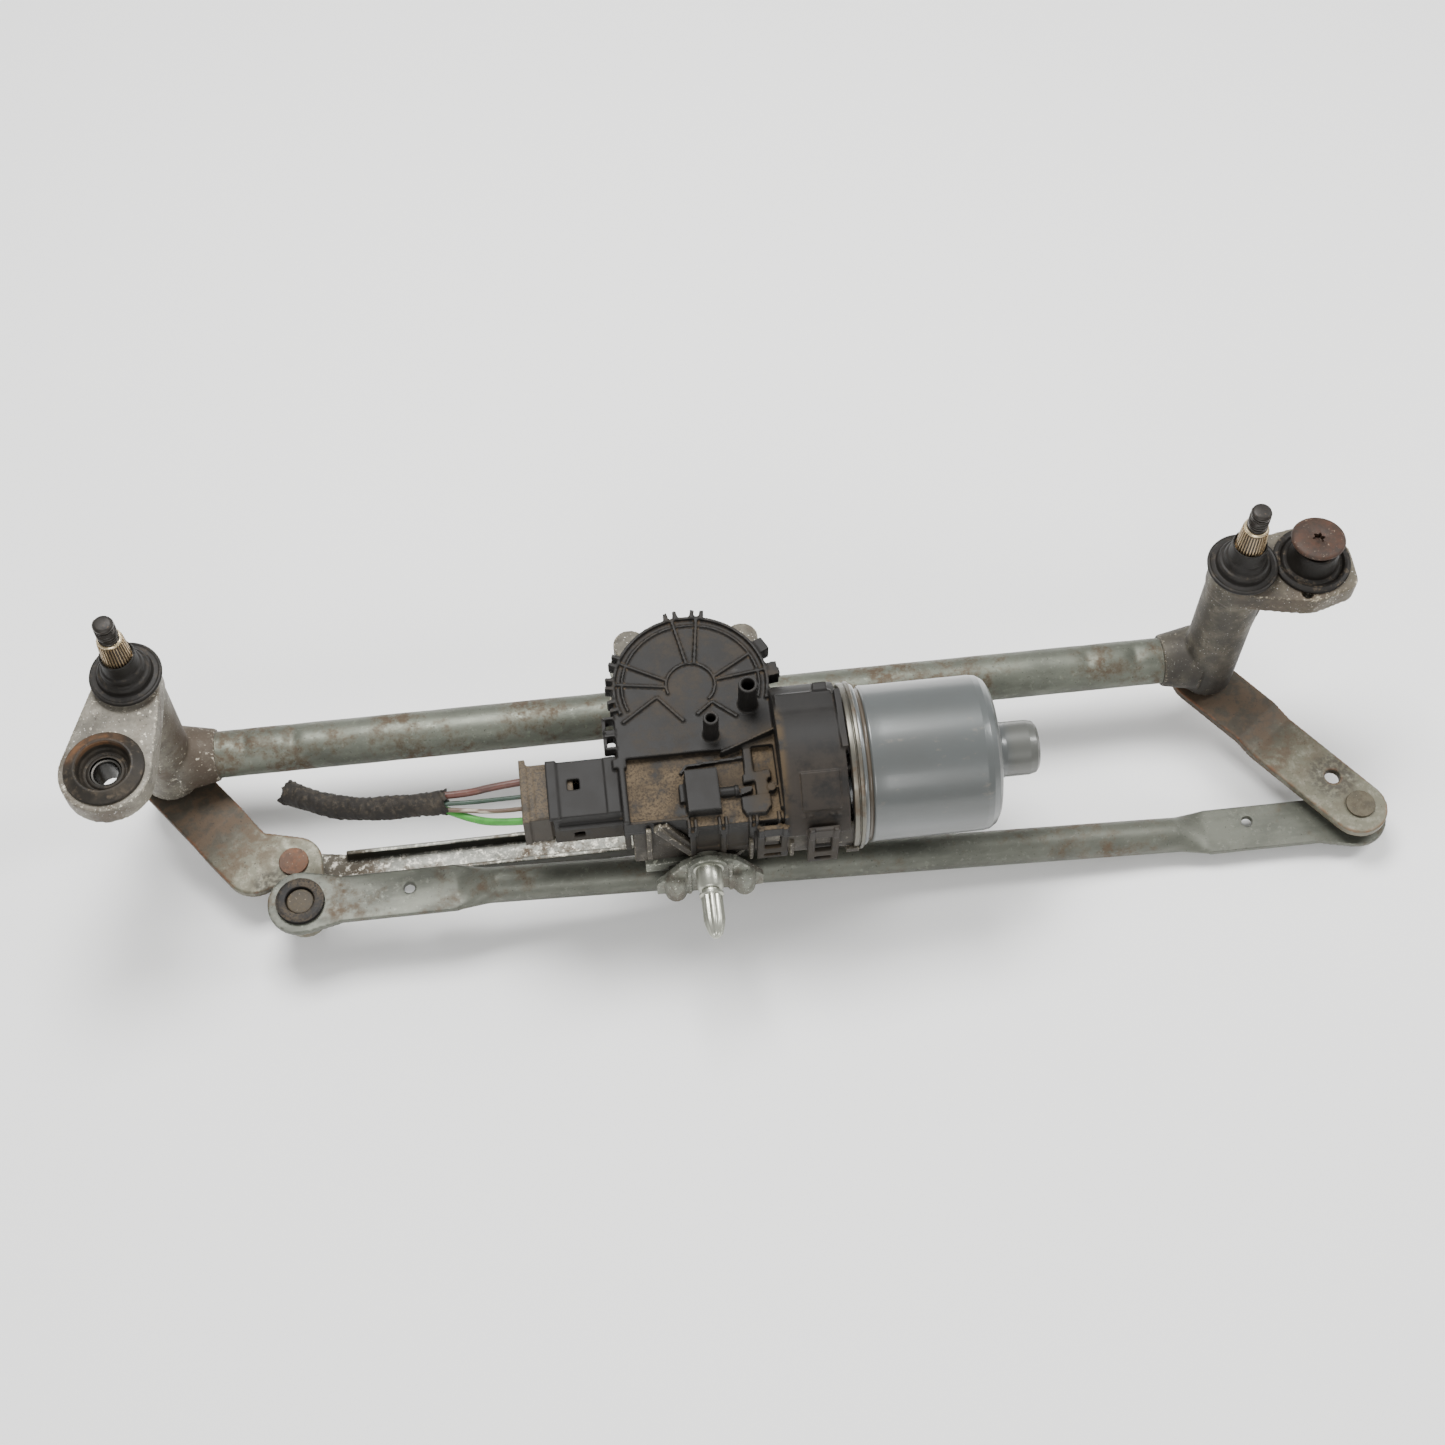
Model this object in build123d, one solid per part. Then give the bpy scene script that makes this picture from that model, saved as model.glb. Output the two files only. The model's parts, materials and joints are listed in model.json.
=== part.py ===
from build123d import *
import math
import os

# Windshield wiper drive: a frame tube with a die-cast spindle housing at each end, a geared motor on a
# bracket between them, two wiper arms' lower levers joined by a long link, and a drag link to the motor crank.
# Millimetres. +X runs from the left spindle to the right one, +Y to the rear, +Z up along the spindles.
# The origin is on the left spindle's axis, at the middle of its threaded end.

# ---------------------------------------------------------------- driving dimensions
SPACING = 430.0            # between the two spindle axes
CAP_Z = -31.5              # dust cap flange plane, below the middle of the thread
RUN_GAP = 0.05             # radial running clearance of a shaft in its bush
BALL_GAP = 0.08            # radial clearance of a ball in its socket
FACE_GAP = 0.3             # least gap between faces of different moving bodies

# spindles
THREAD_R = 4.0
THREAD_LEN = 10.4
COLLAR_R = 4.7
COLLAR_LEN = 1.3
CONE_R = 5.8
CONE_LEN = 12.0
SHAFT_R = 6.0
TENON_R = 5.0
RIVET_R = 7.5
RIVET_T = 1.6
GROOVE_R = 5.1

# dust caps and retaining parts
CAP_FLANGE_R = 13.8
CAP_FLANGE_T = 1.4
CAP_STEP_R = 10.0
CAP_STEP_H = 4.0
CAP_HUB_R = 7.0
CAP_HUB_H = 12.4
CAP_HOLLOW_R = 8.8
WASHER_T = 1.1
CLIP_T = 1.2

# spindle housings
HOUSING_R = 11.5
BORE_R = 9.0
HOUSING_TOP = CAP_Z - 1.5
HOUSING_LEN = 82.5
HOUSING_BOTTOM = HOUSING_TOP - HOUSING_LEN
BUSH_LEN = 15.0
EAR_TOP = CAP_Z - 4.0
EAR_T = 10.0
LEFT_EAR_R = 17.4
RIGHT_EAR_R = 16.5
EAR_HOLE_R = 11.5
EAR_ROOT_R = 12.2
LEFT_EAR = (-8.2, -38.0)
LEFT_EAR_SHOULDER = (-3.0, -20.0, 14.0)
RIGHT_EAR = (SPACING + 28.0, 0.6)
RIGHT_EAR_CORNER = (SPACING + 39.0, -8.0, 5.5)
RIGHT_EAR_FOOT = (SPACING + 25.6, -9.5, 8.0)
PILOT = (SPACING + 23.3, -13.7)
PILOT_R = 2.1
SPIGOT_LEN = 42.0
SPIGOT_GAP = 0.05
NECK_R = 10.6
NECK_ROOT_R = 13.6
NECK_LEN = 21.0
GUSSET_T = 7.0

# grommets, sleeves and the mounting bolt
GROMMET_R = 15.1
GROMMET_LIP = 2.6
GROMMET_RECESS_R = 10.5
GROMMET_RECESS = 6.0
SLEEVE_R = 6.6
SLEEVE_BORE_R = 4.4
SLEEVE_LEN = 13.0
BOLT_HEAD_R = 10.5
BOLT_HEAD_T = 3.0
BOLT_COLLAR_R = 6.4
BOLT_HEAD_TOP = CAP_Z + 10.0
BOLT_SHANK_R = 4.0
BOLT_NECK_R = 4.25          # plain shank inside the sleeve, above the thread
BOLT_LEN = 26.0

# frame tube
TUBE_R = 9.5
TUBE_WALL = 1.8
TUBE_Y = 1.0
TUBE_Z = CAP_Z - 72.0
TUBE_END = 21.0            # spindle axis to the tube's end
CRIMP_DEPTH = 1.1
CRIMP_CUT_R = 34.0

# arms and their ball studs
ARM_TOP = HOUSING_BOTTOM - 2.0
ARM_T = 4.0
ARM_W = 24.5
ARM_SHIFT = 1.05           # the arm lies this much to one side of the line through its pivots
ARM_DROP = 2.5             # joggle between the spindle end and the ball end
ARM_DROP_START = 30.0
ARM_DROP_END = 38.0
ARM_ANGLE = -52.0
OUTER_R = 84.0
INNER_R = 64.0
INNER_ANGLE = -41.8
BALL_R = 6.5
BALL_FLAT = 4.0
NECK_STUD_R = 4.2
STUD_RIVET_R = 6.0
STUD_RIVET_T = 1.2
OUTER_BALL_UP = 8.6        # left outer ball centre above the lowered arm's top
LOWER_BALL_DOWN = 7.7      # ball centre below the lowered arm's underside

# sockets and links
CUP_R = 8.6
CUP_RIM_R = 9.6
CUP_RIM_T = 2.2
CUP_MOUTH_R = 5.7
LINK_PLATE_T = 3.0
LINK_END_R = 13.2
LINK_PLATE_W = 19.5
LINK_PLATE_LEN = 62.0
LINK_BLEND = 15.0
LINK_TUBE_R = 7.2
LINK_TUBE_WALL = 1.5
LINK_HOLE_R = 2.2
DRAG_W = 13.5
DRAG_T = 2.0
DRAG_WALL_H = 5.0
DRAG_END_R = 10.0
DRAG_FLAT = 24.0

# motor, gearbox and crank
SHAFT_X = 212.5
SHAFT_Y = -17.0
MOTOR_Y = -48.3
MOTOR_Z = CAP_Z - 42.0
CRANK_R = 48.0
CRANK_ANGLE = -30.0
CRANK_T = 5.0
CRANK_TOP = ARM_TOP
CRANK_HUB_R = 12.0
CRANK_END_R = 9.0
CRANK_BALL_R = 4.2
CRANK_CUP_R = 7.0
OUTPUT_R = 5.0
OUTPUT_BUSH_R = 6.5
OUTPUT_BOSS_R = 8.0
NUT_AF = 13.0
NUT_T = 6.5
GEAR_TEETH = 60
GEAR_MODULE = 0.85
GEAR_FACE = 8.0
WORM_TIP = 0.8
BACKLASH = 0.62
RIM_R = 31.8               # the flange round the open top of the gear housing
RIM_T = 3.0
BOWL_TOP = CAP_Z - 34.0
BOWL_BOTTOM = CAP_Z - 59.5
LUG_RADIUS = 38.8
LUG_ANGLES = (123.5, 52.5, -88.0)
LUG_R = 6.6
LUG_TOP = CAP_Z - 41.0
SCREW_R = 3.0
COVER_R = 30.2
COVER_T = 2.2
COVER_TOP = CAP_Z - 22.0
COVER_LOW_TOP = CAP_Z - 25.5
COVER_X0 = 181.5
COVER_FRONT = -73.0
COVER_STEP_Y = -46.0
BARREL_X0 = 242.0
CAN_X0 = 275.5
CAN_LEN = 52.0
CAN_SHOULDER = 7.0
CAN_R = 30.5
CAN_WALL = 1.5
CAN_NOSE_R = 10.8
CAN_NOSE_LEN = 17.5
BARREL_R = 31.0
BARREL_WALL = 2.4
FLANGE_T = 6.5             # machined face that the motor can seats on
LABEL_T = 2.2
ARMATURE_R = 22.6
ARMATURE_SHAFT_R = 4.0
BEARING_R = 7.0
COMMUTATOR_R = 9.0
SOCKET_X0 = 155.0
SOCKET_Y = (-67.0, -43.0)
SOCKET_Z = (CAP_Z - 46.0, CAP_Z - 25.0)
SOCKET_WALL = 1.7
PLUG_GAP = 0.15
PLUG_BACK = 143.5
BOARD_T = 1.6
TERMINAL_W = 2.0
TERMINAL_T = 0.8
SEAL_T = 0.8
VENTS = ((233.5, -27.8, -6.0, 3.7, 2.5), (218.0, -39.6, -8.0, 3.0, 1.8))   # x, y, top, outside and bore radius
CHIPS = ((190, -62, 8, 8, 1.6), (204, -58, 6, 9, 2.2), (222, -62, 10, 7, 1.8), (233.5, -54.5, 4, 5, 2.4))

# bracket and locating pin
BRACKET_T = 3.0
LEG_X = 188.5
WING_X = 213.0
PIN_X = 212.2
WING_Y = -80.0
WING_W = 42.0
WING_TOP = CAP_Z - 47.0
WING_BOTTOM = CAP_Z - 75.0
PIN_Z = CAP_Z - 52.5
PIN_R = 4.0
PIN_LEN = 29.0
PIN_BASE_R = 4.9
PIN_BASE_LEN = 8.0
PIN_RIVET_R = 3.2           # where the pin goes through the wing

# harness
THICK_WIRE_R = 1.5
THIN_WIRE_R = 0.9
LOOM_R = 4.9

# ---------------------------------------------------------------- values that follow from them
TUBE_BORE_R = TUBE_R - TUBE_WALL
SPIGOT_R = TUBE_BORE_R - SPIGOT_GAP
ARM_LOW_TOP = ARM_TOP - ARM_DROP
ARM_LOW_BOTTOM = ARM_LOW_TOP - ARM_T
OUTER_BALL_Z = ARM_LOW_TOP + OUTER_BALL_UP
LOWER_BALL_Z = ARM_LOW_BOTTOM - LOWER_BALL_DOWN
THREAD_TOP = THREAD_LEN / 2
CONE_TOP = -THREAD_TOP - COLLAR_LEN
CONE_BOTTOM = CONE_TOP - CONE_LEN
BOWL_R = COVER_R - 0.6
BOWL_BORE_R = COVER_R - COVER_T - 0.8
COMMUTATOR_X = CAN_X0 - 22.0
BRUSH_X = COMMUTATOR_X - 3.0
BOARD_TOP = COVER_LOW_TOP - COVER_T - 3.0
CAN_X1 = CAN_X0 + CAN_LEN
NOSE_X1 = CAN_X1 + CAN_NOSE_LEN
GEAR_PITCH_R = GEAR_TEETH * GEAR_MODULE / 2
WORM_PITCH_R = (SHAFT_Y - MOTOR_Y) - GEAR_PITCH_R
LEAD = math.pi * GEAR_MODULE
DRAG_FLOOR_TOP = LOWER_BALL_Z - 1.8


def polar(radius, angle):
    return (radius * math.cos(math.radians(angle)), radius * math.sin(math.radians(angle)))


OUTER_BALL = polar(OUTER_R, ARM_ANGLE)
INNER_BALL = polar(INNER_R, INNER_ANGLE)
CRANK_REACH = polar(CRANK_R, CRANK_ANGLE)
CRANK_BALL = (SHAFT_X + CRANK_REACH[0], SHAFT_Y + CRANK_REACH[1])


# ---------------------------------------------------------------- small helpers
def post(x, y, z0, z1, radius):
    return Pos(x, y, (z0 + z1) / 2) * Cylinder(radius, abs(z1 - z0))


def bar_x(x0, x1, y, z, radius):
    return Pos((x0 + x1) / 2, y, z) * Rot(0, 90, 0) * Cylinder(radius, abs(x1 - x0))


def bar_y(y0, y1, x, z, radius):
    return Pos(x, (y0 + y1) / 2, z) * Rot(90, 0, 0) * Cylinder(radius, abs(y1 - y0))


def block(x0, x1, y0, y1, z0, z1):
    size = Box(abs(x1 - x0), abs(y1 - y0), abs(z1 - z0))
    return Pos((x0 + x1) / 2, (y0 + y1) / 2, (z0 + z1) / 2) * size


def hull_plate(circles, z0, z1):
    """A flat plate whose outline is the hull of the circles, each given as (x, y, radius)."""
    edges = ShapeList()
    for x, y, radius in circles:
        edges += (Pos(x, y) * Circle(radius)).edges()
    return Pos(0, 0, z0) * extrude(make_hull(edges), z1 - z0)


def turned(profile, x, y):
    """A turned piece: the profile's (radius, z) corners revolved about the vertical line at x, y."""
    face = make_face(Plane.XZ * Polyline(*profile, close=True))
    return Pos(x, y, 0) * revolve(face, Axis.Z)


def save(name, *solids):
    shape = solids[0] if len(solids) == 1 else Compound(children=list(solids))
    export_step(shape, os.path.join("parts", name + ".step"))


# ---------------------------------------------------------------- spindle ends
def spindle(x):
    bottom = ARM_TOP - ARM_T - RIVET_T
    profile = [
        (0, THREAD_TOP), (THREAD_R - 0.7, THREAD_TOP), (THREAD_R, THREAD_TOP - 0.7),
        (THREAD_R, -THREAD_TOP), (COLLAR_R, -THREAD_TOP), (COLLAR_R, CONE_TOP),
        (CONE_R, CONE_BOTTOM), (SHAFT_R, CONE_BOTTOM - 0.4),
        (SHAFT_R, CAP_Z + CLIP_T + 0.2), (GROOVE_R, CAP_Z + CLIP_T + 0.2),
        (GROOVE_R, CAP_Z), (SHAFT_R, CAP_Z),
        (SHAFT_R, ARM_TOP), (TENON_R, ARM_TOP), (TENON_R, ARM_TOP - ARM_T),
        (RIVET_R, ARM_TOP - ARM_T), (RIVET_R - 0.8, bottom), (0, bottom),
    ]
    return turned(profile, x, 0)


def dust_cap(x):
    low = HOUSING_TOP + FACE_GAP
    flange_top = low + CAP_FLANGE_T
    step_top = CAP_Z + CAP_STEP_H
    roof = step_top - 1.5
    profile = [
        (CAP_HOLLOW_R, low), (CAP_FLANGE_R, low), (CAP_FLANGE_R, flange_top),
        (CAP_STEP_R + 0.6, flange_top + 0.5), (CAP_STEP_R, step_top),
        (CAP_HUB_R + 0.5, step_top + 0.4), (CAP_HUB_R - 0.5, CAP_Z + CAP_HUB_H),
        (SHAFT_R, CAP_Z + CAP_HUB_H), (SHAFT_R, roof), (CAP_HOLLOW_R, roof),
    ]
    return turned(profile, x, 0)


def retaining_ring(x):
    ring = post(x, 0, CAP_Z + 0.1, CAP_Z + 0.1 + CLIP_T, SHAFT_R + 2.2)
    ring -= post(x, 0, CAP_Z - 1, CAP_Z + 3, GROOVE_R + 0.02)
    return ring - block(x + 1, x + 10, -1.8, 1.8, CAP_Z - 1, CAP_Z + 3)


def thrust_washers(x):
    top = post(x, 0, HOUSING_TOP + 0.2, HOUSING_TOP + 0.2 + WASHER_T, SHAFT_R + 2.4)
    bottom = post(x, 0, HOUSING_BOTTOM - 0.3, ARM_TOP, SHAFT_R + 3.5)
    hole = post(x, 0, HOUSING_TOP + 5, ARM_TOP - 5, SHAFT_R + RUN_GAP)
    return top - hole, bottom - hole


def spindle_bushes(x):
    hole = post(x, 0, HOUSING_TOP + 1, HOUSING_BOTTOM - 1, SHAFT_R + RUN_GAP)
    upper = post(x, 0, HOUSING_TOP, HOUSING_TOP - BUSH_LEN, BORE_R) - hole
    lower = post(x, 0, HOUSING_BOTTOM, HOUSING_BOTTOM + BUSH_LEN, BORE_R) - hole
    return upper, lower


def spindle_housing(x, ear, ear_circles, side):
    """side is +1 where the frame tube leaves towards +X, and -1 where it leaves towards -X."""
    neck_z = (HOUSING_BOTTOM, HOUSING_TOP)
    body = post(x, 0, HOUSING_BOTTOM, HOUSING_TOP, HOUSING_R)
    flare = Cone(NECK_ROOT_R, NECK_R, NECK_LEN - 6.0)
    flare = Pos(x + side * (6.0 + (NECK_LEN - 6.0) / 2), TUBE_Y, TUBE_Z) * Rot(0, side * 90, 0) * flare
    neck_core = bar_x(x, x + side * NECK_LEN, TUBE_Y, TUBE_Z, NECK_R)
    body += (flare & block(x - 40, x + 40, -40, 40, *neck_z))
    body += neck_core
    body += bar_x(x + side * (NECK_LEN - 1), x + side * (TUBE_END + SPIGOT_LEN), TUBE_Y, TUBE_Z, SPIGOT_R)
    body += hull_plate([(x, 0, EAR_ROOT_R)] + ear_circles, EAR_TOP - EAR_T, EAR_TOP)
    dx, dy = ear[0] - x, ear[1]
    reach = math.hypot(dx, dy)
    web = Polyline((0, EAR_TOP - EAR_T + 1), (reach - EAR_HOLE_R - 2, EAR_TOP - EAR_T + 1),
                   (reach - EAR_HOLE_R - 2, EAR_TOP - EAR_T - 3), (HOUSING_R - 1, EAR_TOP - EAR_T - 40),
                   (0, EAR_TOP - EAR_T - 40), close=True)
    web = extrude(make_face(Plane.XZ * web), GUSSET_T / 2, both=True)
    body += Pos(x, 0, 0) * Rot(0, 0, math.degrees(math.atan2(dy, dx))) * web
    body -= post(x, 0, HOUSING_BOTTOM - 1, HOUSING_TOP + 1, BORE_R)
    body -= post(ear[0], ear[1], EAR_TOP - EAR_T - 1, EAR_TOP + 1, EAR_HOLE_R)
    body -= post(ear[0], ear[1], EAR_TOP - EAR_T - 8, EAR_TOP - EAR_T, GROMMET_R + 0.3)
    return body - post(PILOT[0], PILOT[1], EAR_TOP - EAR_T - 1, EAR_TOP + 1, PILOT_R)


def grommet(ear):
    top = EAR_TOP + GROMMET_LIP
    low = EAR_TOP - EAR_T - GROMMET_LIP
    floor = top - GROMMET_RECESS
    profile = [
        (SLEEVE_R, floor), (GROMMET_RECESS_R - 1.5, floor), (GROMMET_RECESS_R, top - 0.8),
        (GROMMET_RECESS_R + 1.2, top), (GROMMET_R - 1.0, top), (GROMMET_R, top - 1.0),
        (GROMMET_R, EAR_TOP), (EAR_HOLE_R, EAR_TOP), (EAR_HOLE_R, EAR_TOP - EAR_T),
        (GROMMET_R - 0.6, EAR_TOP - EAR_T), (GROMMET_R - 0.6, low + 0.8), (GROMMET_R - 1.4, low),
        (SLEEVE_R, low),
    ]
    return turned(profile, *ear)


def sleeve(ear):
    top = EAR_TOP + GROMMET_LIP - GROMMET_RECESS + 0.8
    body = post(ear[0], ear[1], top - SLEEVE_LEN, top, SLEEVE_R)
    return body - post(ear[0], ear[1], top - SLEEVE_LEN - 1, top + 1, SLEEVE_BORE_R)


def mount_bolt(ear):
    seat = EAR_TOP + GROMMET_LIP - GROMMET_RECESS + 0.8
    under_head = BOLT_HEAD_TOP - BOLT_HEAD_T
    tip = seat - BOLT_LEN
    profile = [
        (0, BOLT_HEAD_TOP), (BOLT_HEAD_R - 1.2, BOLT_HEAD_TOP), (BOLT_HEAD_R, BOLT_HEAD_TOP - 0.6),
        (BOLT_HEAD_R, under_head), (BOLT_COLLAR_R, under_head), (BOLT_COLLAR_R, seat),
        (BOLT_NECK_R, seat), (BOLT_NECK_R, seat - SLEEVE_LEN - 0.5), (BOLT_SHANK_R, seat - SLEEVE_LEN - 1.0),
        (BOLT_SHANK_R, tip + 1), (BOLT_SHANK_R - 1, tip), (0, tip),
    ]
    bolt = turned(profile, *ear)
    for k in range(6):
        lobe = polar(1.7, 60 * k)
        bolt -= post(ear[0] + lobe[0], ear[1] + lobe[1], BOLT_HEAD_TOP - 2.4, BOLT_HEAD_TOP + 1, 0.75)
    return bolt - post(ear[0], ear[1], BOLT_HEAD_TOP - 2.4, BOLT_HEAD_TOP + 1, 1.7)


# ---------------------------------------------------------------- frame tube
def frame_tube():
    x0, x1 = TUBE_END, SPACING - TUBE_END
    tube = bar_x(x0, x1, TUBE_Y, TUBE_Z, TUBE_R) - bar_x(x0 - 1, x1 + 1, TUBE_Y, TUBE_Z, TUBE_BORE_R)
    reach = TUBE_R - CRIMP_DEPTH + CRIMP_CUT_R
    for x in (x0 + 11, x0 + 31, x1 - 31, x1 - 11):
        for side in (-1, 1):
            tube -= bar_y(-TUBE_R, TUBE_R, x, TUBE_Z + side * reach, CRIMP_CUT_R)
            tube -= Pos(x, TUBE_Y + side * reach, TUBE_Z) * Cylinder(CRIMP_CUT_R, 2 * TUBE_R)
    return tube


# ---------------------------------------------------------------- arms
def arm_blank(circles_groups):
    """The arm's outline, pressed down by the joggle between its spindle end and its ball end."""
    outline = None
    for circles in circles_groups:
        plate = hull_plate(circles, ARM_LOW_BOTTOM - 5, ARM_TOP + 5)
        outline = plate if outline is None else outline + plate
    side = Polyline((-20, ARM_TOP), (ARM_DROP_START, ARM_TOP), (ARM_DROP_END, ARM_LOW_TOP),
                    (120, ARM_LOW_TOP), (120, ARM_LOW_BOTTOM), (ARM_DROP_END, ARM_LOW_BOTTOM),
                    (ARM_DROP_START, ARM_TOP - ARM_T), (-20, ARM_TOP - ARM_T), close=True)
    side = extrude(make_face(Plane.XZ * side), 40, both=True)
    return (Rot(0, 0, ARM_ANGLE) * side) & outline


def arm_point(reach, radius):
    """A circle of the arm's outline, on the arm's own centre line."""
    along = polar(reach, ARM_ANGLE)
    aside = polar(ARM_SHIFT, ARM_ANGLE - 90)
    return (along[0] + aside[0], along[1] + aside[1], radius)


def left_arm():
    w = ARM_W / 2
    ox, oy = OUTER_BALL
    ix, iy = INNER_BALL
    root = arm_point(44, 9.5)
    strip = [arm_point(0, w), arm_point(OUTER_R - 31, w)]
    arm = arm_blank([strip, [(ox, oy, 8.6), (ix, iy, 11.5)], [(ix, iy, 11.5), root]])
    arm -= post(0, 0, ARM_TOP + 1, ARM_LOW_BOTTOM - 1, TENON_R)
    for x, y in (OUTER_BALL, INNER_BALL):
        arm -= post(x, y, ARM_TOP + 1, ARM_LOW_BOTTOM - 1, NECK_STUD_R)
    return arm


def right_arm():
    ox, oy = OUTER_BALL
    arm = arm_blank([[arm_point(0, ARM_W / 2), arm_point(OUTER_R, ARM_W / 2 - 0.3)]])
    arm -= post(0, 0, ARM_TOP + 1, ARM_LOW_BOTTOM - 1, TENON_R)
    arm -= post(ox, oy, ARM_TOP + 1, ARM_LOW_BOTTOM - 1, NECK_STUD_R)
    hole = polar(OUTER_R - 16, ARM_ANGLE + 2)
    arm -= post(hole[0], hole[1], ARM_TOP + 1, ARM_LOW_BOTTOM - 1, 3.15)
    return Pos(SPACING, 0, 0) * arm


def ball_stud(x, y, centre_z, rivet_side, radius=BALL_R, low=ARM_LOW_BOTTOM, high=ARM_LOW_TOP):
    """A riveted ball stud. rivet_side is +1 where the rivet head is on top and the ball hangs below."""
    face = high if rivet_side > 0 else low
    far = low if rivet_side > 0 else high
    head = post(x, y, face, face + rivet_side * STUD_RIVET_T, STUD_RIVET_R)
    shank = post(x, y, face, far, NECK_STUD_R)
    neck = post(x, y, far, centre_z, 0.56 * radius)
    collar = post(x, y, far, far - rivet_side * 0.8, NECK_STUD_R + 0.8)
    ball = Pos(x, y, centre_z) * Sphere(radius)
    cut = centre_z - rivet_side * (radius * BALL_FLAT / BALL_R)
    ball -= post(x, y, cut, cut - rivet_side * radius, radius)
    return head + shank + neck + collar + ball


def socket(x, y, centre_z, down, open_top, radius=BALL_R, cup_r=CUP_R, plate_z=None):
    """A moulded ball socket with its neck opening at the stud's side: down is -1 where the stud is above."""
    stud_side = -down
    near = centre_z + stud_side * radius * 0.86
    far = centre_z - stud_side * (radius * 0.84 if open_top else radius + 1.3)
    cup = post(x, y, near, far, cup_r)
    if plate_z is not None:
        cup += post(x, y, plate_z, plate_z - stud_side * CUP_RIM_T, CUP_RIM_R)
    cup -= Pos(x, y, centre_z) * Sphere(radius + BALL_GAP)
    cup -= post(x, y, centre_z, near + stud_side, CUP_MOUTH_R * radius / BALL_R)
    if open_top:
        cup -= post(x, y, centre_z, far - stud_side, CUP_MOUTH_R * radius / BALL_R)
    return cup


# ---------------------------------------------------------------- links
def long_link():
    """A round tube between two flattened ends. The left end lies above its arm and the right end below."""
    lx, ly = OUTER_BALL
    rx = SPACING + lx
    left_z = OUTER_BALL_Z + 1.5
    right_z = LOWER_BALL_Z
    half = LINK_PLATE_T / 2

    def end_plate(x, z, sign):
        flat = hull_plate([(x, ly, LINK_END_R), (x + sign * 12, ly, LINK_PLATE_W / 2 + 0.8)], z - half, z + half)
        strip = block(x + sign * 8, x + sign * LINK_PLATE_LEN, ly - LINK_PLATE_W / 2, ly + LINK_PLATE_W / 2,
                      z - half, z + half)
        return flat + strip

    a = (lx + LINK_PLATE_LEN, left_z)
    b = (rx - LINK_PLATE_LEN, right_z)
    slope = (b[1] - a[1]) / (b[0] - a[0])
    c = (a[0] + LINK_BLEND, a[1] + slope * LINK_BLEND)
    d = (b[0] - LINK_BLEND, b[1] - slope * LINK_BLEND)
    axis = Vector(d[0] - c[0], 0, d[1] - c[1])

    def blend(flat_end, round_end, way):
        flat = Plane(origin=(flat_end[0], ly, flat_end[1]), x_dir=(0, 1, 0), z_dir=(way, 0, 0))
        round_plane = Plane(origin=(round_end[0], ly, round_end[1]), x_dir=(0, 1, 0), z_dir=axis * way)
        return loft([flat * flat_section, round_plane * Circle(LINK_TUBE_R)])

    flat_section = RectangleRounded(LINK_PLATE_W, LINK_PLATE_T, LINK_PLATE_T / 2 - 0.05)
    run = Plane(origin=(c[0], ly, c[1]), x_dir=(0, 1, 0), z_dir=axis)
    tube = extrude(run * Circle(LINK_TUBE_R), axis.length)
    bore = extrude(run * Circle(LINK_TUBE_R - LINK_TUBE_WALL), axis.length - 2)
    link = end_plate(lx, left_z, 1) + blend(a, c, 1) + tube + blend(b, d, -1) + end_plate(rx, right_z, -1)
    link -= Pos(1, 0, 0) * bore
    link -= post(lx, ly, left_z - 5, left_z + 5, CUP_R)
    link -= post(rx, ly, right_z - 5, right_z + 5, CUP_R)
    link -= post(lx + 43.0, ly + 1.5, left_z - 5, left_z + 5, LINK_HOLE_R)
    return link - post(rx - 44.5, ly + 2.5, right_z - 5, right_z + 5, LINK_HOLE_R)


def drag_link():
    """A channel, open upwards, with a flat eye at each end."""
    ax, ay = INNER_BALL
    bx, by = CRANK_BALL
    length = math.hypot(bx - ax, by - ay)
    top = DRAG_FLOOR_TOP
    low = top - DRAG_T
    w = DRAG_W / 2
    flat = hull_plate([(0, 0, DRAG_END_R + 0.6), (DRAG_FLAT, 0, w)], low, top)
    flat += hull_plate([(length, 0, DRAG_END_R), (length - DRAG_FLAT, 0, w)], low, top)
    flat += block(DRAG_FLAT - 1, length - DRAG_FLAT + 1, -w, w, low, top)
    for side in (-1, 1):
        wall = block(DRAG_FLAT - 4, length - DRAG_FLAT, side * w, side * (w - DRAG_T), low, top + DRAG_WALL_H)
        flat += wall
    flat -= post(0, 0, low - 1, top + 1, CUP_R)
    return Pos(ax, ay, 0) * Rot(0, 0, math.degrees(math.atan2(by - ay, bx - ax))) * flat


# ---------------------------------------------------------------- gearbox drive train
def crank():
    z0 = CRANK_TOP - CRANK_T
    bx, by = CRANK_BALL
    plate = hull_plate([(SHAFT_X, SHAFT_Y, CRANK_HUB_R), (bx, by, CRANK_END_R)], z0, CRANK_TOP)
    plate -= post(SHAFT_X, SHAFT_Y, z0 - 1, CRANK_TOP + 1, OUTPUT_R - 0.5)
    return plate - post(bx, by, z0 - 1, CRANK_TOP + 1, NECK_STUD_R)


def output_shaft():
    z0 = CRANK_TOP - CRANK_T
    profile = [
        (0, BOWL_TOP - 3), (OUTPUT_R - 0.5, BOWL_TOP - 3), (OUTPUT_R, BOWL_TOP - 3.5),
        (OUTPUT_R, CRANK_TOP), (OUTPUT_R - 0.5, CRANK_TOP), (OUTPUT_R - 0.5, z0 + 0.2),
        (THREAD_R, z0), (THREAD_R, z0 - NUT_T - 1.6), (THREAD_R - 0.6, z0 - NUT_T - 2.2),
        (0, z0 - NUT_T - 2.2),
    ]
    return turned(profile, SHAFT_X, SHAFT_Y)


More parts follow.
